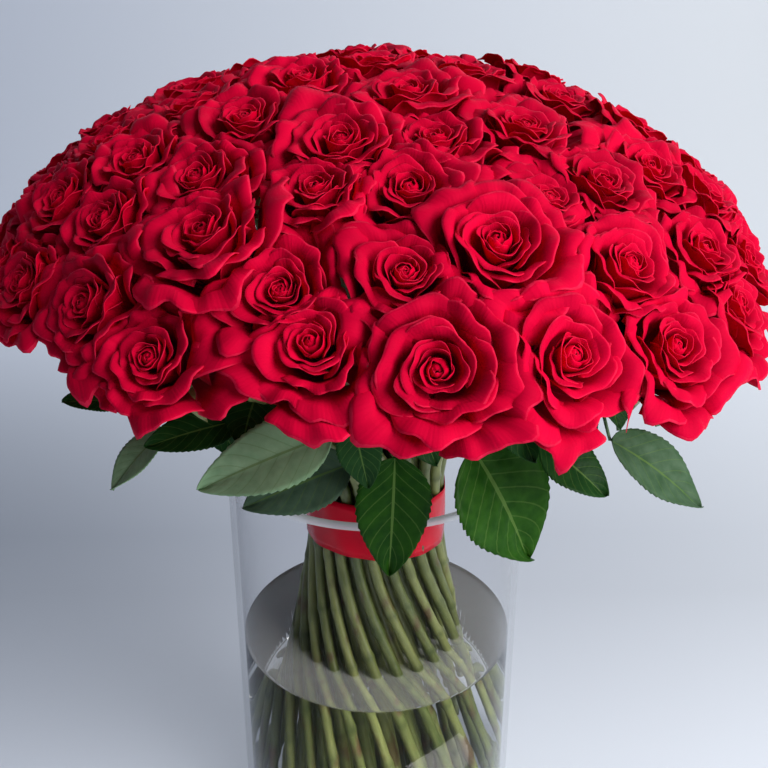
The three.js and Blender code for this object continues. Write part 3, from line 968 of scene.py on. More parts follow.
@dataclass
class Blooms:
    """All the blooms, each a spiral of thin petals from a tight heart to the open guard petals."""

    dome: Dome
    roses: list[Rose]
    petals: int = 30
    across: int = 20
    along: int = 7
    finer_lip: float = 1.55
    thickness: float = 0.0003

    # How far a bloom spreads: over its neighbours by the interlock, into the full room between
    # them, and only into the free room towards the open air. Headings are cosines.
    interlock: float = 0.0056
    full_room: float = 1.22
    free_room: float = 0.96
    open_between: Pair = (0.86, 0.50)
    least_heading: float = 0.05
    near_reaches: float = 3.0
    headings: int = 72
    spreads_between: Pair = (0.25, 0.95)

    # How much the heart is crowded, and how far a bloom and its heart stand aside.
    crowding: float = 1.18
    crowding_stray: float = 0.2
    turned_aside: float = 0.12
    heart_aside: float = 0.07

    # How far each petal strays in its opening, length, width, turn and spread.
    opened_stray: float = 0.06
    opened_strays_between: Pair = (0.05, 0.3)
    length_stray: float = 0.05
    length_less: float = 0.04
    width_stray: float = 0.12
    turn_stray: float = 0.16
    spread_stray: float = 0.08

    # The petal's outline: its sides fall short, more so when open, and its lip is worn.
    narrow_base: Triple = (0.45, 0.55, 0.7)
    short_sides: Pair = (0.12, 0.20)
    tip_height: float = 0.07
    tip_width: float = 0.22
    tip_stray: float = 0.3
    scallops: Ripple = Ripple(0.040, 5, 7)
    nicks: Ripple = Ripple(0.022, 13, 8)

    # How it is bent: one side winds outside the next petal, and the lip curls, waves and rolls.
    winding: Triple = (0.07, 0.16, 0.06)
    uneven_curl: float = 0.7
    curl_outward: float = 0.3
    ruffles_out: tuple[Ripple, Ripple] = (Ripple(1.0, 3.8, 6), Ripple(0.4, 10, 9))
    ruffles_up: tuple[Ripple, Ripple] = (Ripple(1.0, 4.6, 6), Ripple(0.4, 12, 9))
    lip_roll: float = 0.07
    rolls_from: float = 0.78
    lift: float = 0.05
    slope: float = 0.08

    # Its shade: the usual one, how far blooms and petals stray from it, and the painted shade that
    # darkens it deep in the bloom.
    tones: Triple = (0.82, 0.08, 0.10)
    painted_shade_tones: Pair = (0.80, 0.20)
    painted_shade_between: Pair = (-0.50, -0.08)

    stages: tuple[Stage, ...] = (
        Stage(
            0.0, (0.01, -0.20), (0.05, -0.20), (0.09, -0.14), (0.09, -0.02), (0.0, -0.03),
            130, 0.0, 0.006,
        ),
        Stage(
            0.12, (0.02, -0.26), (0.09, -0.24), (0.14, -0.16), (0.14, -0.01), (0.11, 0.02),
            104, 0.02, 0.016,
        ),
        Stage(
            0.28, (0.04, -0.44), (0.15, -0.38), (0.21, -0.22), (0.21, -0.01), (0.27, 0.04),
            84, 0.05, 0.028,
        ),
        Stage(
            0.45, (0.06, -0.80), (0.25, -0.68), (0.33, -0.34), (0.31, -0.01), (0.44, 0.05),
            66, 0.08, 0.036,
        ),
        Stage(
            0.65, (0.08, -0.88), (0.30, -0.78), (0.42, -0.38), (0.45, 0.02), (0.63, 0.03),
            52, 0.12, 0.052,
        ),
        Stage(
            0.85, (0.09, -0.95), (0.38, -0.84), (0.56, -0.44), (0.62, 0.04), (0.84, -0.04),
            42, 0.13, 0.056,
        ),
        Stage(
            1.0, (0.10, -0.98), (0.46, -0.88), (0.68, -0.48), (0.80, 0.06), (1.04, -0.16),
            35, 0.13, 0.058,
        ),
    )

    def build(self, materials: Sequence[bpy.types.Material]) -> None:
        """Make one piece for each group of blooms that is one solid in the frame.

        Args:
            materials: The petals' upper and under sides.
        """
        groups: dict[str, list[Rose]] = {}
        for rose in self.roses:
            key = f"row{rose.row_index}_{rose.place // self.dome.fused}"
            groups.setdefault(key, []).append(rose)
        for key, members in groups.items():
            patches = Patchwork(self.across, self.along)
            for rose in members:
                self._bloom(rose, patches)
            name = f"blooms_{key}"
            piece = place_piece(name, patches.mesh(name), materials, [f"roses_{key}"])
            thicken(piece, self.thickness, 1)

    def _stage(self, opened: np.ndarray, read: Callable[[Stage], float]) -> np.ndarray:
        """Read one measure of the stages at the given openings, evenly between them."""
        marks = [stage.opened for stage in self.stages]
        return np.interp(opened, marks, [read(stage) for stage in self.stages])

    def _room(self, rose: Rose, angles: np.ndarray, first: Vector, second: Vector) -> np.ndarray:
        """Find how far a bloom may spread each way before it meets its neighbours.

        Args:
            rose: The bloom.
            angles: Directions in its own plane, in radians.
            first: The direction of angle 0.
            second: The direction a quarter turn on.

        Returns:
            Shares of its full reach.
        """
        ways = np.outer(np.cos(angles), first) + np.outer(np.sin(angles), second)
        full = self.dome.bloom_reach * rose.size
        room = np.full(len(angles), self.full_room)
        closest = np.zeros(len(angles))
        for other in self.roses:
            gap = other.face - rose.face
            if other is rose or gap.length > self.near_reaches * self.dome.bloom_reach:
                continue
            heading = ways @ np.array(gap.normalized())
            own = rose.size**3 / (rose.size**3 + other.size**3)
            limit = gap.length * own + self.interlock
            towards = np.maximum(heading, self.least_heading)
            met = np.where(heading > self.least_heading, limit / towards / full, np.inf)
            room = np.minimum(room, met)
            closest = np.maximum(closest, heading)
        # Towards the open air below the dome there is no neighbour, and the petals end sooner.
        open_air = smooth(*self.open_between, closest)
        room = np.minimum(room, self.full_room + (self.free_room - self.full_room) * open_air)
        kernel = np.array([1.0, 2.0, 3.0, 2.0, 1.0]) / 9.0
        wrapped = np.concatenate([room[-2:], room, room[:2]])
        return np.convolve(wrapped, kernel, mode="valid")

    def _profile(
        self, opened: np.ndarray, chance: Sequence[np.ndarray], u: np.ndarray, v: np.ndarray
    ) -> tuple[np.ndarray, np.ndarray]:
        """Bend a bloom's petals, as if it stood alone.

        Args:
            opened: How far each petal has opened.
            chance: Four draws for each petal.
            u: Places across the petals, from -1 to 1.
            v: Places along them, from 0 to 1.

        Returns:
            How far out of the bloom's axis and how far up it each point lies.
        """
        # How far along the petal's line each point lies: less at its sides, more at its tip.
        tip = np.exp(-(((u - self.tip_stray * chance[2]) / self.tip_width) ** 2))
        peak = self.tip_height * tip * opened
        notch = self.scallops.at(u, chance[1]) + self.nicks.at(u, chance[0])
        short = (self.short_sides[0] + self.short_sides[1] * opened) * np.abs(u) ** 3
        line = v * (1 - short + (notch * np.sqrt(opened) + peak) * v**3)
        line = line * (1 + opened * (self.length_stray * chance[3] - self.length_less))
        rest = 1 - line
        weights = [math.comb(4, k) * line**k * rest ** (4 - k) for k in range(5)]
        out, up = (
            sum(
                weight * self._stage(opened, lambda stage, k=k: stage.points()[k][part])
                for k, weight in enumerate(weights)
            )
            for part in (0, 1)
        )

        # The sides curl back, one more than the other, and the outer petals lean and wave.
        curl = self._stage(opened, lambda stage: stage.curl)
        curl = curl * (1 + self.uneven_curl * chance[1] * np.sign(u))
        up = up - curl * np.abs(u) ** 2.4 * v**2
        always, at_heart, by_chance = self.winding
        wind = always + at_heart * (1 - opened) ** 2 + by_chance * chance[3]
        out = out * (1 + wind * u) + self.curl_outward * curl * np.abs(u) ** 2 * v**3
        ruffle = self._stage(opened, lambda stage: stage.ruffle) * v**3
        broad, fine = self.ruffles_out
        out = out + ruffle * (broad.at(u, chance[2]) + fine.at(u, chance[1]))
        broad, fine = self.ruffles_up
        up = up + ruffle * (broad.at(u, chance[0]) + fine.at(u, chance[3]))
        roll = self.lip_roll * opened * smooth(self.rolls_from, 1.0, v) ** 2
        lean = self.lift * chance[3] + self.slope * chance[1] * u
        return out + roll, up - roll + v**2 * opened * lean

    def _looks(self, rose: Rose) -> tuple[Vector, Vector, Vector]:
        """Turn a bloom a few degrees away from the dome's own direction.

        Args:
            rose: The bloom.

        Returns:
            The way it looks, and two ways a quarter turn apart in its own plane.
        """
        sideways = around(rose.angle + 90, 1, 0)
        looks = rose.axis + self.turned_aside * (
            draw(rose.number, 2) * sideways + draw(rose.number, 1) * rose.axis.cross(sideways)
        )
        looks.normalize()
        first = (sideways - sideways.dot(looks) * looks).normalized()
        return looks, first, looks.cross(first)

    def _bloom(self, rose: Rose, patches: Patchwork) -> None:
        """Add one bloom's petals to the patches.

        Args:
            rose: The bloom.
            patches: Where its petals go.
        """
        index = np.arange(self.petals)[:, None]
        chance = [
            np.array([[draw(rose.number * self.petals + k, stream)] for k in range(self.petals)])
            for stream in range(len(STREAMS))
        ]
        crowding = self.crowding + self.crowding_stray * draw(rose.number, 2)
        share = (index / (self.petals - 1)) ** crowding
        stray = self.opened_stray * chance[0] * smooth(*self.opened_strays_between, share)
        opened = np.clip(share + stray, 0.0, 1.0)
        u, v = patches.u[None, :], 1 - (1 - patches.v[None, :]) ** self.finer_lip
        out, up = self._profile(opened, chance, u, v)

        width = np.radians(self._stage(opened, lambda stage: stage.half_width))
        width = width * (1 + self.width_stray * chance[3])
        spin = math.pi * (1 + draw(rose.number, 1))
        turn = spin + np.radians(GOLDEN_TURN) * index + self.turn_stray * chance[2]
        least, more, power = self.narrow_base
        angle = turn + u * width * (least + more * v**power)

        # It spreads as far as its neighbours let it.
        looks, first, second = self._looks(rose)
        whole = 2 * math.pi
        marks = np.linspace(0, whole, self.headings + 1)
        room = self._room(rose, marks[:-1], first, second)
        limit = np.interp(angle % whole, marks, np.append(room, room[0]))
        limit = limit * (1 + self.spread_stray * chance[1])
        out = out * (1 + (limit - 1) * smooth(*self.spreads_between, out))

        # The heart sits a little to one side of the bloom's middle.
        shift = self.heart_aside * v * (1 - opened)
        ahead = out * np.cos(angle) + shift * draw(rose.number, 0)
        abreast = out * np.sin(angle) + shift * draw(rose.number, 3)
        reach = self.dome.bloom_reach * rose.size
        places = np.array(rose.face) + reach * (
            ahead[..., None] * np.array(first)
            + abreast[..., None] * np.array(second)
            + up[..., None] * np.array(looks)
        )
        maps = np.stack(np.broadcast_arrays(u / 2 + 0.5, v * np.ones_like(opened)), axis=-1)
        usual, by_bloom, by_petal = self.tones
        tone = usual + by_bloom * draw(rose.number, 3) + by_petal * chance[2]
        # Points deep down in the bloom are darker: painted shade.
        deepest, higher = self.painted_shade_tones
        depth = deepest + higher * smooth(*self.painted_shade_between, up)
        patches.add(places, maps, np.clip(tone, 0, 1) * depth)


# ---------------------------------------------------------------- stems


@dataclass
class Stems:
    """One long stem to each rose, through the tie and down to the glass, with hip and sepals."""

    dome: Dome
    roses: list[Rose]
    tie_bottom: float = 0.243
    tie_top: float = 0.281
    pitch: float = 0.0079
    foot_height: float = 0.0089
    foot_spread: float = 2.1
    twist_below: float = 70.0
    twist_above: float = 45.0
    handle: float = 0.4
    handle_up: float = 0.8
    handle_out: float = 1.15
    bloom_depth: float = 0.0413
    steps: int = 24
    smoothings: int = 3

    radius: float = 0.0034
    radius_stray: float = 0.10
    hip_radius: float = 0.0075
    hip_length: float = 0.011
    hip_top: float = 0.002
    knot_apart: float = 0.047
    knot_stray: float = 0.25
    knot_length: float = 0.0026
    knot_height: float = 0.0009
    sides: int = 8
    rings: int = 60
    seam_away: Triple = (0.0, 1.0, 0.15)
    bark_repeat: float = 14.0
    tones: Triple = (0.55, 0.4, 0.5)

    sepals: int = 5
    sepal_grid: tuple[int, int] = (4, 7)
    sepal_width: float = 0.0042
    sepal_blunt: float = 0.14
    sepal_fullness: float = 0.8
    sepal_root: Pair = (0.001, 0.003)
    sepal_out: Pair = (0.017, 0.002)
    sepal_rise: Pair = (0.006, 2.4)
    sepal_droop: float = 0.012
    sepal_stray: float = 0.3
    sepal_thickness: float = 0.0005
    sepal_tone: float = 0.8

    def lower(self, rose: Rose, height: float) -> Vector:
        """Give a stem's middle below the tie.

        Args:
            rose: The rose that it carries.
            height: How high on it the middle is read.

        Returns:
            The point.
        """
        drop = (self.tie_bottom - height) / (self.tie_bottom - self.foot_height)
        out = self.pitch * rose.row_index * (1 + (self.foot_spread - 1) * drop)
        turn = self.twist_above + self.twist_below * math.sin(drop * math.pi / 2)
        return around(rose.even_angle + turn, out, height)

    def upper(self, rose: Rose, share: float) -> Vector:
        """Give a stem's middle above the tie.

        Args:
            rose: The rose that it carries.
            share: How far up it the middle is read, from 0 at the tie to 1 at the bloom.

        Returns:
            The point.
        """
        tilt = math.radians(rose.tilt)
        hip = rose.face - self.bloom_depth * rose.axis
        end = np.array((math.hypot(hip.x, hip.y), hip.z))
        start = np.array((self.pitch * rose.row_index, self.tie_top))
        pull = self.handle * float(np.linalg.norm(end - start))
        low = np.array((start[0] * self.handle_out, start[1] + self.handle_up * pull))
        high = end - pull * np.array((math.sin(tilt), math.cos(tilt)))
        rest = 1 - share
        out, height = (
            rest**3 * start
            + 3 * share * rest**2 * low
            + 3 * share**2 * rest * high
            + share**3 * end
        )
        unwound = rose.even_angle + (rose.angle - rose.even_angle) * share
        return around(unwound + self.twist_above * rest**2, out, height)

    def path(self, rose: Rose) -> tuple[np.ndarray, np.ndarray, float]:
        """Trace the middle line of a whole stem from its foot to its bloom.

        Args:
            rose: The rose that it carries.

        Returns:
            The line's points, how far along it each lies, and how far along the tie's middle is.
        """
        heights = np.linspace(self.foot_height, self.tie_bottom, self.steps)
        below = [self.lower(rose, height) for height in heights]
        above = [self.upper(rose, share) for share in np.linspace(0, 1, self.steps)]
        points = np.array([point[:] for point in below + above])
        for _ in range(self.smoothings):
            points[1:-1] = (points[:-2] + 2 * points[1:-1] + points[2:]) / 4
        lengths = np.append(0, np.cumsum(np.linalg.norm(np.diff(points, axis=0), axis=1)))
        tie_middle = (self.tie_bottom + self.tie_top) / 2
        return points, lengths, float(np.interp(tie_middle, points[:, 2], lengths))

    def build(self, material: bpy.types.Material) -> None:
        """Make the stems as two pieces that meet inside the tie, and the sepals as another.

        Args:
            material: Their bark.
        """
        for part in ("lower", "upper"):
            tubes = Patchwork(self.sides, self.rings)
            for rose in self.roses:
                points, lengths, cut = self.path(rose)
                first, last = (0.0, cut) if part == "lower" else (cut, lengths[-1])
                even = np.linspace(first, last, self.rings + 1)
                line = np.stack([np.interp(even, lengths, points[:, k]) for k in range(3)], axis=-1)
                self._tube(rose, line, even, lengths[-1], tubes)
            mesh = tubes.tube_mesh(f"stalks_{part}")
            place_piece(f"stalks_{part}", mesh, [material], [f"stems_{part}"])
        patches = Patchwork(*self.sepal_grid)
        for rose in self.roses:
            self._sepals(rose, patches)
        piece = place_piece("sepals", patches.mesh("sepals"), [material])
        thicken(piece, self.sepal_thickness)

    def _tube(
        self, rose: Rose, line: np.ndarray, reached: np.ndarray, whole: float, tubes: Patchwork
    ) -> None:
        """Wrap one patch round a part of a stem, thicker at its knots and at the hip.

        Args:
            rose: The rose that it carries.
            line: The part's middle line, one point for each ring.
            reached: How far up the stem each of those points lies.
            whole: How long the whole stem is.
            tubes: Where the patch goes.
        """
        along = unit(np.gradient(line, axis=0))
        side = unit(np.cross(along, self.seam_away))
        across = np.cross(along, side)
        ring = np.rint(tubes.v * self.rings).astype(int)
        height = reached[ring]
        spaced = self.knot_apart * (1 + self.knot_stray * draw(rose.number, 1))
        from_knot = (height + spaced * draw(rose.number, 0)) % spaced - spaced / 2
        knots = np.exp(-((from_knot / self.knot_length) ** 2))
        hip = smooth(whole - self.hip_length, whole - self.hip_top, height)
        radius = self.radius * (1 + self.radius_stray * draw(rose.number, 3))
        radius = radius + self.knot_height * knots + (self.hip_radius - self.radius) * hip
        shift = radius[:, None] * spokes(math.pi * tubes.u, side[ring], across[ring])
        maps = np.stack([tubes.u / 2 + 0.5, height * self.bark_repeat], axis=-1)
        usual, by_stem, at_knots = self.tones
        tone = usual + by_stem * draw(rose.number, 2) - at_knots * knots
        # Stems of the inner rows, deep in the bunch, are darker: painted shade.
        tone = np.clip(tone * (rose.row_index + 1) / len(self.dome.rows), 0, 1)
        tubes.add((line[ring] + shift)[None], maps[None], tone[None])

    def _sepals(self, rose: Rose, patches: Patchwork) -> None:
        """Add the pointed sepals that hang back from a rose's hip.

        Args:
            rose: The rose.
            patches: Where they go.
        """
        axis = np.array(rose.axis)
        first = around(rose.angle + 90, 1, 0)
        second = np.array(rose.axis.cross(first))
        inward, upward = self.sepal_root
        root = np.array(rose.face - rose.axis * (self.bloom_depth - upward))
        u, v = patches.u, patches.v
        line = np.clip(v * (1 - self.sepal_blunt) + self.sepal_blunt, 0, 1)
        width = self.sepal_width * np.sin(math.pi * line) ** self.sepal_fullness
        out = self.hip_radius - inward + self.sepal_out[0] * v - self.sepal_out[1] * v**2
        rise, bow = self.sepal_rise
        up = rise * np.sin(bow * v) - self.sepal_droop * v**2
        for k in range(self.sepals):
            turn = 2 * math.pi * (k + self.sepal_stray * draw(rose.number, 0)) / self.sepals
            outward = math.cos(turn) * np.array(first) + math.sin(turn) * second
            sideways = np.cross(axis, outward)
            places = (
                root
                + out[:, None] * outward
                + up[:, None] * axis
                + (u * width)[:, None] * sideways
            )
            patches.add_one(places, self.sepal_tone)


# ---------------------------------------------------------------- leaves


@dataclass(frozen=True)
class LeafPlan:
    """Where one leaf's blade starts and ends, in mm, how wide it is, and its colour."""

    name: str
    base: Triple
    tip: Triple
    width: float
    tone: LeafTone

    def chance(self) -> float:
        """Give the leaf its steady draw from -1 to 1, picked by the length of its name."""
        return draw(len(self.name), 1)


@dataclass
class Leaves:
    """The toothed leaves that hang out of the bunch below the dome."""

    stems: Stems
    blade_grid: tuple[int, int] = (12, 68)
    thickness: float = 0.0004
    arch: float = 0.12
    fold: float = 0.16
    looks: Pair = (0.8, 0.6)
    # The outline's fullest place, its roundness and its taper, and how much it is filled out.
    egg: Triple = (0.82, 0.72, 0.25)
    fullness: float = 1.12
    teeth: int = 17
    tooth_depth: float = 0.06
    quilt: float = 0.035
    # Waves in the blade: their height, waves along and across, and how chance shifts them.
    flutter: tuple[float, float, float, float] = (0.05, 9, 1.5, 5)
    stalk_grid: tuple[int, int] = (8, 8)
    stalk_radius: float = 0.0013
    stalk_taper: float = 0.0004
    stalk_sag: float = 0.06
    seat_rows: int = 2
    seat_steps: int = 40
    plans: tuple[LeafPlan, ...] = (
        LeafPlan("leaf_long_left", (-22, -142, 382), (-86, -150, 356), 36, LeafTone.GREYED),
        LeafPlan("leaf_low_left", (-14, -98, 341), (-71, -108, 320), 36, LeafTone.PALE),
        LeafPlan("leaf_middle", (10, -112, 354), (7, -108, 278), 42, LeafTone.SHADED),
        LeafPlan("leaf_tucked", (-11, -128, 381), (-4, -125, 343), 24, LeafTone.DEEP),
        LeafPlan("leaf_broad_right", (50, -106, 356), (83, -106, 287), 66, LeafTone.FRESH),
        LeafPlan("leaf_curled_right", (84, -118, 365), (118, -128, 338), 32, LeafTone.DEEP),
        LeafPlan("leaf_far_right", (124, -104, 358), (173, -112, 321), 39, LeafTone.LIT),
        LeafPlan("leaf_far_left", (-110, -106, 366), (-136, -123, 340), 24, LeafTone.GREYED),
        LeafPlan("leaf_dark_left", (-68, -122, 380), (-114, -136, 372), 24, LeafTone.DEEP),
        LeafPlan("leaf_edge_left", (-128, -116, 388), (-154, -130, 394), 18, LeafTone.DEEP),
    )
    # Small dark leaves that have no solid of their own: close under the blooms, and the last one
    # between three of them.
    tucked: tuple[LeafPlan, ...] = (
        LeafPlan("leaf_under_1", (16, -112, 386), (31, -118, 352), 28, LeafTone.DEEP),
        LeafPlan("leaf_under_2", (-44, -112, 386), (-30, -119, 350), 30, LeafTone.DEEP),
        LeafPlan("leaf_under_3", (-88, -100, 386), (-72, -112, 354), 30, LeafTone.DEEP),
        LeafPlan("leaf_under_4", (64, -108, 384), (82, -116, 352), 30, LeafTone.DEEP),
        LeafPlan("leaf_under_5", (98, -92, 384), (114, -102, 352), 30, LeafTone.DEEP),
        LeafPlan("leaf_under_6", (-126, -76, 388), (-118, -94, 362), 28, LeafTone.DEEP),
        LeafPlan("leaf_under_7", (-58, -116, 396), (-66, -134, 372), 34, LeafTone.DEEP),
        LeafPlan("leaf_under_8", (118, -88, 392), (126, -108, 366), 32, LeafTone.DEEP),
        LeafPlan("leaf_under_9", (92, -152, 460), (105, -169, 415), 36, LeafTone.DEEP),
    )
    # The leaves round the sides and the back: their angles, then mm out, mm up and mm wide.
    back_angles: tuple[float, ...] = (82, 112, 146, 180, 214, 250)
    back_lean: float = 6.0
    back_base: Pair = (138, 374)
    back_tip: Pair = (174, 322)
    back_width: float = 38

    def build(self) -> None:
        """Make every leaf as a blade and a stalk."""
        upper = {tone: LeafFinish(tone).make() for tone in LeafTone}
        under = LeafBackFinish().make()
        for plan in [*self.plans, *self._back()]:
            self._leaf(plan, [upper[plan.tone], under], [plan.name])
        for plan in self.tucked:
            self._leaf(plan, [upper[plan.tone], under], [])

    def _leaf(
        self, plan: LeafPlan, finishes: Sequence[bpy.types.Material], solids: Sequence[str]
    ) -> None:
        """Make one leaf's two pieces.

        Args:
            plan: The leaf.
            finishes: Its upper and under sides.
            solids: The solids that its blade stands for.
        """
        patches = Patchwork(*self.blade_grid)
        self._blade(plan, patches)
        mesh = patches.mesh(f"{plan.name}_blade")
        piece = place_piece(f"{plan.name}_blade", mesh, finishes, solids)
        thicken(piece, self.thickness, 1)
        tubes = Patchwork(*self.stalk_grid)
        self._stalk(plan, tubes)
        mesh = tubes.tube_mesh(f"{plan.name}_stalk")
        place_piece(f"{plan.name}_stalk", mesh, finishes[1:])

    def _back(self) -> list[LeafPlan]:
        """Plan the leaves round the sides and the back.

        Returns:
            Their plans, in order round the vase.
        """
        plans = []
        for i, angle in enumerate(self.back_angles):
            lean = self.back_lean * draw(i, 0)
            base = tuple(around(angle, self.back_base[0], self.back_base[1] + lean))
            tip = tuple(around(angle + 2 * lean, self.back_tip[0], self.back_tip[1] - lean))
            tone = (LeafTone.FRESH, LeafTone.DEEP)[i % 2]
            plans.append(LeafPlan(f"leaf_back_{i + 1}", base, tip, self.back_width, tone))
        return plans

    def _blade(self, plan: LeafPlan, patches: Patchwork) -> None:
        """Shape a leaf's blade: toothed, folded at its midrib, bowed, and quilted by its veins.

        Args:
            plan: The leaf.
            patches: Where the blade goes.
        """
        base, tip = (np.array(point, float) * MM for point in (plan.base, plan.tip))
        length = float(np.linalg.norm(tip - base))
        outward = unit(np.array((base[0], base[1], 0.0)))
        facing = self.looks[0] * outward + self.looks[1] * np.array(UP)
        middle = (base + tip) / 2 + self.arch * length * facing
        u, v = patches.u, patches.v
        rest = 1 - v
        line = (
            (rest**2)[:, None] * base + (2 * v * rest)[:, None] * middle + (v**2)[:, None] * tip
        )
        along = unit((2 * rest)[:, None] * (middle - base) + (2 * v)[:, None] * (tip - middle))
        across = unit(np.cross(along, facing))
        up = np.cross(across, along)

        fullest, roundness, taper = self.egg
        egg = np.sin(math.pi * v**fullest) ** roundness * (1 - taper * v)
        saw = (v * self.teeth) % 1.0
        at_edge = np.abs(u) ** 6 * np.sin(math.pi * v) ** 0.4
        tooth = 1 - self.tooth_depth * (1 - saw) * at_edge
        half = plan.width * MM / 2 * self.fullness * egg * tooth
        row = (SIDE_VEINS * v - VEIN_SLOPE * np.abs(u)) % 1.0
        quilt = self.quilt * np.sin(math.pi * row) * np.sin(math.pi * np.abs(u) ** 0.7)
        height, waves_along, waves_across, shift = self.flutter
        phase = waves_along * v + shift * plan.chance() + waves_across * u
        wave = height * np.sin(phase) * np.abs(u) ** 2
        rise = (self.fold * np.abs(u) + quilt + wave) * plan.width * MM / 2
        places = line + (u * half)[:, None] * across + rise[:, None] * up
        patches.add_one(places)

    def _stalk(self, plan: LeafPlan, tubes: Patchwork) -> None:
        """Run a leaf's stalk from the nearest outer stem to the foot of its blade.

        Args:
            plan: The leaf.
            tubes: Where the stalk goes.
        """
        foot = np.array(plan.base, float) * MM
        outermost = len(self.stems.dome.rows) - self.seat_rows
        outer = [rose for rose in self.stems.roses if rose.row_index >= outermost]
        shares = np.linspace(0, 1, self.seat_steps)
        bark = np.array([self.stems.upper(rose, share)[:] for rose in outer for share in shares])
        seat = bark[np.argmin(np.linalg.norm(bark - foot, axis=1))]
        ring = tubes.v[:, None]
        sag = -self.stalk_sag * np.linalg.norm(foot - seat) * np.array(UP)
        line = seat + (foot - seat) * ring + sag * np.sin(math.pi * ring)
        along = unit(foot - seat)
        side = unit(np.cross(along, UP))
        radius = self.stalk_radius - self.stalk_taper * ring
        places = line + radius * spokes(math.pi * tubes.u, side, np.cross(along, side))
        tubes.add_one(places)


# ---------------------------------------------------------------- vase, water and ribbon


@dataclass
class Vessel:
    """The clear glass cylinder and the water in it.

    Corners are (out, up) steps from where the corner would be if it were sharp.
    """

    radius: float = 0.095
    height: float = 0.300
    wall: float = 0.004
    foot: float = 0.008
    foot_corner: tuple[Pair, ...] = ((-0.003, 0.0), (-0.0008, 0.0008), (0.0, 0.003))
    bed_corner: tuple[Pair, ...] = ((0.0, 0.004), (-0.0012, 0.0012), (-0.004, 0.0))
    shading_ring: float = 0.002
    rim_depth: float = 0.0038
    rim_points: int = 9
    water_level: float = 0.160
    water_gap: float = 0.0004
    # The veil on the water's top is a painted reflection.
    water_veil: float = 0.25
    meniscus: tuple[Pair, ...] = ((0.0, 0.0016), (-0.0007, 0.00064), (-0.003, 0.0))
    steps: int = 128

    def build(self) -> None:
        """Make the glass and the water."""
        inner = self.radius - self.wall
        below_rim = self.height - self.rim_depth
        lip = self.wall / 2
        rim = [
            (self.radius - lip + lip * math.cos(turn), self.height - lip + lip * math.sin(turn))
            for turn in np.linspace(0, math.pi, self.rim_points)
        ]
        outside = self._corner(self.radius, 0.0, self.foot_corner)
        bed = self._corner(inner, self.foot, self.bed_corner)
        # Rings close to the rim and the foot keep the wall's shading straight between them.
        ring = self.shading_ring
        glass = [(0.0, 0.0), *outside, (self.radius, outside[-1][1] + ring)]
        glass += [(self.radius, below_rim - ring), (self.radius, below_rim), *rim]
        glass += [(inner, below_rim), (inner, below_rim - ring), (inner, bed[0][1] + ring)]
        glass += [*bed, (0.0, self.foot)]
        mesh = self._turned("glass", glass)
        for face in mesh.polygons:
            face.material_index = int(face.center.z > below_rim)
        finishes = [GlassFinish().make(), GlassRimFinish().make()]
        place_piece("glass_cylinder", mesh, finishes, ["vase"])

        edge = inner - self.water_gap
        bottom = self.foot + self.water_gap
        water = [(0.0, bottom), *reversed(self._corner(edge, bottom, self.bed_corner))]
        water += [*self._corner(edge, self.water_level, self.meniscus), (0.0, self.water_level)]
        mesh = self._turned("water", water)
        for face in mesh.polygons:
            face.material_index = int(face.center.z > self.water_level - MM / 10)
        finishes = [
            WaterFinish("water_side", 0.0).make(), WaterFinish("water_top", self.water_veil).make()
        ]
        place_piece("still_water", mesh, finishes, ["water"])

    def _corner(self, out: float, up: float, steps: Sequence[Pair]) -> list[Pair]:
        """Give a rounded corner's points, from where it would be and its steps from there."""
        return [(out + step_out, up + step_up) for step_out, step_up in steps]

    def _turned(self, name: str, profile: Sequence[Pair]) -> bpy.types.Mesh:
        """Spin a profile round the vase's axis.

        Args:
            name: The mesh's name.
            profile: Its (radius, height) points, from the axis back to the axis.

        Returns:
            A closed mesh.
        """
        builder = bmesh.new()
        verts = [builder.verts.new((r, 0.0, z)) for r, z in profile]
        edges = [builder.edges.new(pair) for pair in zip(verts, verts[1:])]
        bmesh.ops.spin(
            builder,
            geom=verts + edges,
            axis=(0, 0, 1),
            cent=(0, 0, 0),
            steps=self.steps,
            angle=2 * math.pi,
            use_merge=True,
        )
        bmesh.ops.remove_doubles(builder, verts=builder.verts, dist=TOUCHING)
        bmesh.ops.recalc_face_normals(builder, faces=builder.faces)
        mesh = bpy.data.meshes.new(name)
        builder.to_mesh(mesh)
        builder.free()
        mesh.polygons.foreach_set("use_smooth", [True] * len(mesh.polygons))
        return mesh


@dataclass
class Ribbon:
    """One wide ribbon wound once round the waist of the bunch, its end lapped over its start."""

    bottom: float = 0.243
    top: float = 0.281
    radius: float = 0.0446
    lap: float = 26.0
    start: float = -24.0
    grid: tuple[int, int] = (180, 8)
    thickness: float = 0.0005
    # The turn ends a little further out than it starts, and the band is faintly rippled.
    wound_out: float = 0.0009
    ripple: Triple = (0.0003, 0.21, 5)
    edge_ripple: Pair = (0.0006, 3)
    # Its cut ends slant, within this share of its length.
    end_slant: float = 0.004
    end_share: float = 0.06
    # How far it rises to the left and sinks to the right, and how far both sides hang besides.
    slant: float = 0.0025
    sag: float = 0.0035

    def build(self) -> None:
        """Make the ribbon."""
        patches = Patchwork(*self.grid)
        share, v = patches.flat[:, 0], patches.v
        angle = self.start + (360 + self.lap) * share
        ends = smooth(1 - self.end_share, 1.0, share) - smooth(self.end_share, 0.0, share)
        edge = self.end_slant * (v - 0.5) * ends
        depth, waves, shift = self.ripple
        out = self.radius + self.wound_out * share + depth * np.sin(waves * angle + shift * v)
        tall, rounds = self.edge_ripple
        height = self.bottom + (self.top - self.bottom) * v
        height = height + tall * np.sin(np.radians(rounds * angle)) * (v - 0.5)
        aside = np.sin(np.radians(angle))
        height = height - self.slant * aside - self.sag * aside**2
        turn = np.radians(angle) + edge / self.radius
        places = np.stack([out * np.sin(turn), -out * np.cos(turn), height], axis=-1)
        patches.add_one(places)
        mesh = patches.mesh("ribbon_band")
        piece = place_piece("ribbon_band", mesh, [RibbonFinish().make()], ["ribbon"])
        thicken(piece, self.thickness)


# ---------------------------------------------------------------- studio


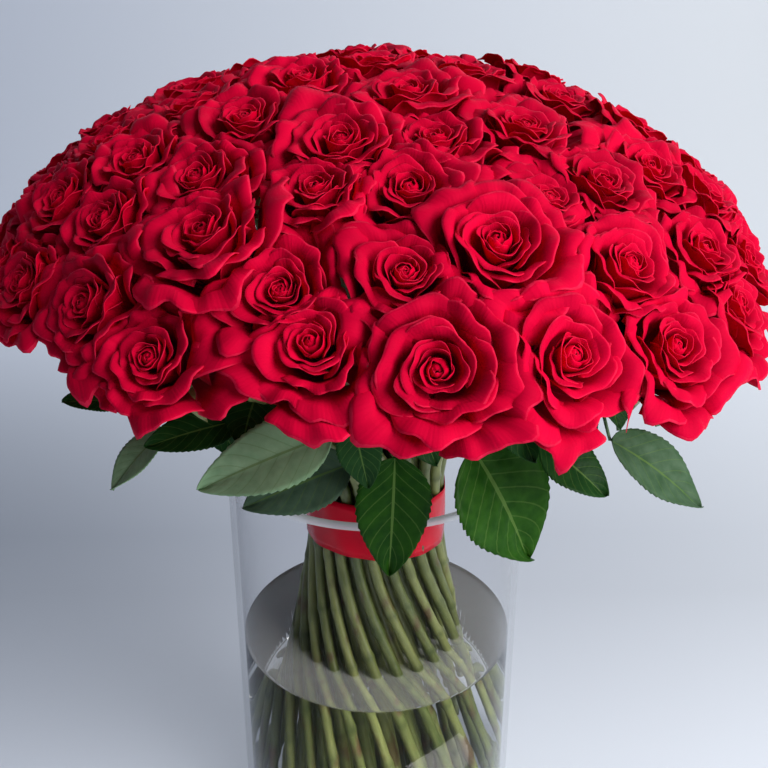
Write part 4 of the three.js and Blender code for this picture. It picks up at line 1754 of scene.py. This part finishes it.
@dataclass(frozen=True)
class Lamp:
    """One soft square light: where it hangs, how wide it is, its watts and its colour."""

    name: str
    place: Triple
    size: float
    power: float
    tint: Triple


@dataclass
class Studio:
    """A pale floor and backdrop, soft light from the right, and the camera."""

    camera_place: Triple = (0.0, -0.6023, 0.6231)
    camera_dip: float = 24.93
    camera_pan: float = -0.5
    lens: float = 50.0
    sensor: float = 36.0
    wall_distance: float = 2.0
    half_width: float = 8.0
    floor_front: float = -4.0
    floor_drop: float = 0.0005
    paper_across: int = 4
    floor_strips: int = 19
    wall_top: float = 5.0
    bend: float = 0.8
    bend_strips: int = 24
    lamps: tuple[Lamp, ...] = (
        Lamp("key", (1.30, -0.95, 1.20), 1.4, 45.0, (1.0, 0.98, 0.96)),
        Lamp("top", (0.5, 0.8, 1.7), 1.2, 4.0, (0.95, 0.97, 1.0)),
    )
    lit_height: float = 0.42
    air: Triple = (0.80, 0.86, 0.95)
    air_strength: float = 0.10

    def build(self) -> None:
        """Make the floor and backdrop, the lights and the camera."""
        self._cove(StudioFinish().make())
        for lamp in self.lamps:
            self._light(lamp)
        world = bpy.data.worlds.new("studio_air")
        world.use_nodes = True
        air = world.node_tree.nodes["Background"]
        air.inputs[0].default_value = (*self.air, 1.0)
        air.inputs[1].default_value = self.air_strength
        bpy.context.scene.world = world
        bpy.context.scene.view_settings.view_transform = "Standard"
        lens = bpy.data.cameras.new("view")
        lens.lens = self.lens
        lens.sensor_width = self.sensor
        camera = bpy.data.objects.new("view", lens)
        camera.location = self.camera_place
        camera.rotation_euler = (
            math.radians(90 - self.camera_dip), 0.0, math.radians(self.camera_pan)
        )
        bpy.context.scene.collection.objects.link(camera)
        bpy.context.scene.camera = camera

    def _cove(self, material: bpy.types.Material) -> None:
        """Put up one sheet of paper that is the floor and bends up into the backdrop.

        Args:
            material: The paper.
        """
        start = self.wall_distance - self.bend
        floor = np.linspace(self.floor_front, start, self.floor_strips + 1)[:-1]
        line = [(y, 0.0) for y in floor]
        line += [
            (start + self.bend * math.sin(turn), self.bend * (1 - math.cos(turn)))
            for turn in np.linspace(0, math.pi / 2, self.bend_strips + 1)
        ]
        line += [(self.wall_distance, self.wall_top)]
        strips = len(line) - 1
        sheet = Patchwork(self.paper_across, strips)
        profile = np.array(line)[np.rint(sheet.v * strips).astype(int)]
        places = np.stack(
            [sheet.u * self.half_width, profile[:, 0], profile[:, 1] - self.floor_drop], axis=-1
        )
        sheet.add_one(places)
        mesh = sheet.mesh("backdrop")
        mesh.materials.append(material)
        surface = bpy.data.objects.new("backdrop", mesh)
        bpy.context.scene.collection.objects.link(surface)

    def _light(self, lamp: Lamp) -> None:
        """Hang one lamp so that it looks at the dome.

        Args:
            lamp: The lamp.
        """
        panel = bpy.data.lights.new(lamp.name, "AREA")
        panel.size = lamp.size
        panel.energy = lamp.power
        panel.color = lamp.tint
        light = bpy.data.objects.new(lamp.name, panel)
        place = Vector(lamp.place)
        light.location = place
        aim = Vector((0, 0, self.lit_height)) - place
        light.rotation_euler = aim.to_track_quat("-Z", "Y").to_euler()
        bpy.context.scene.collection.objects.link(light)


# ---------------------------------------------------------------- the whole


def main() -> None:
    """Build the whole scene; each piece's face count is logged as it is placed."""
    logging.basicConfig(level=logging.INFO, format="%(message)s")
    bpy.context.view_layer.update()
    dome = Dome()
    roses = dome.roses()
    stems = Stems(dome, roses)
    inside = PetalFinish(
        "petal_inside", (0.48, 0.0, 0.016), (0.74, 0.0, 0.029), (0.86, 0.0, 0.037)
    )
    outside = PetalFinish(
        "petal_outside", (0.38, 0.0, 0.016), (0.60, 0.001, 0.031), (0.76, 0.002, 0.042)
    )
    Blooms(dome, roses).build([inside.make(), outside.make()])
    stems.build(StemFinish().make())
    Leaves(stems).build()
    Vessel().build()
    Ribbon().build()
    Studio().build()


if __name__ == "__main__":
    main()
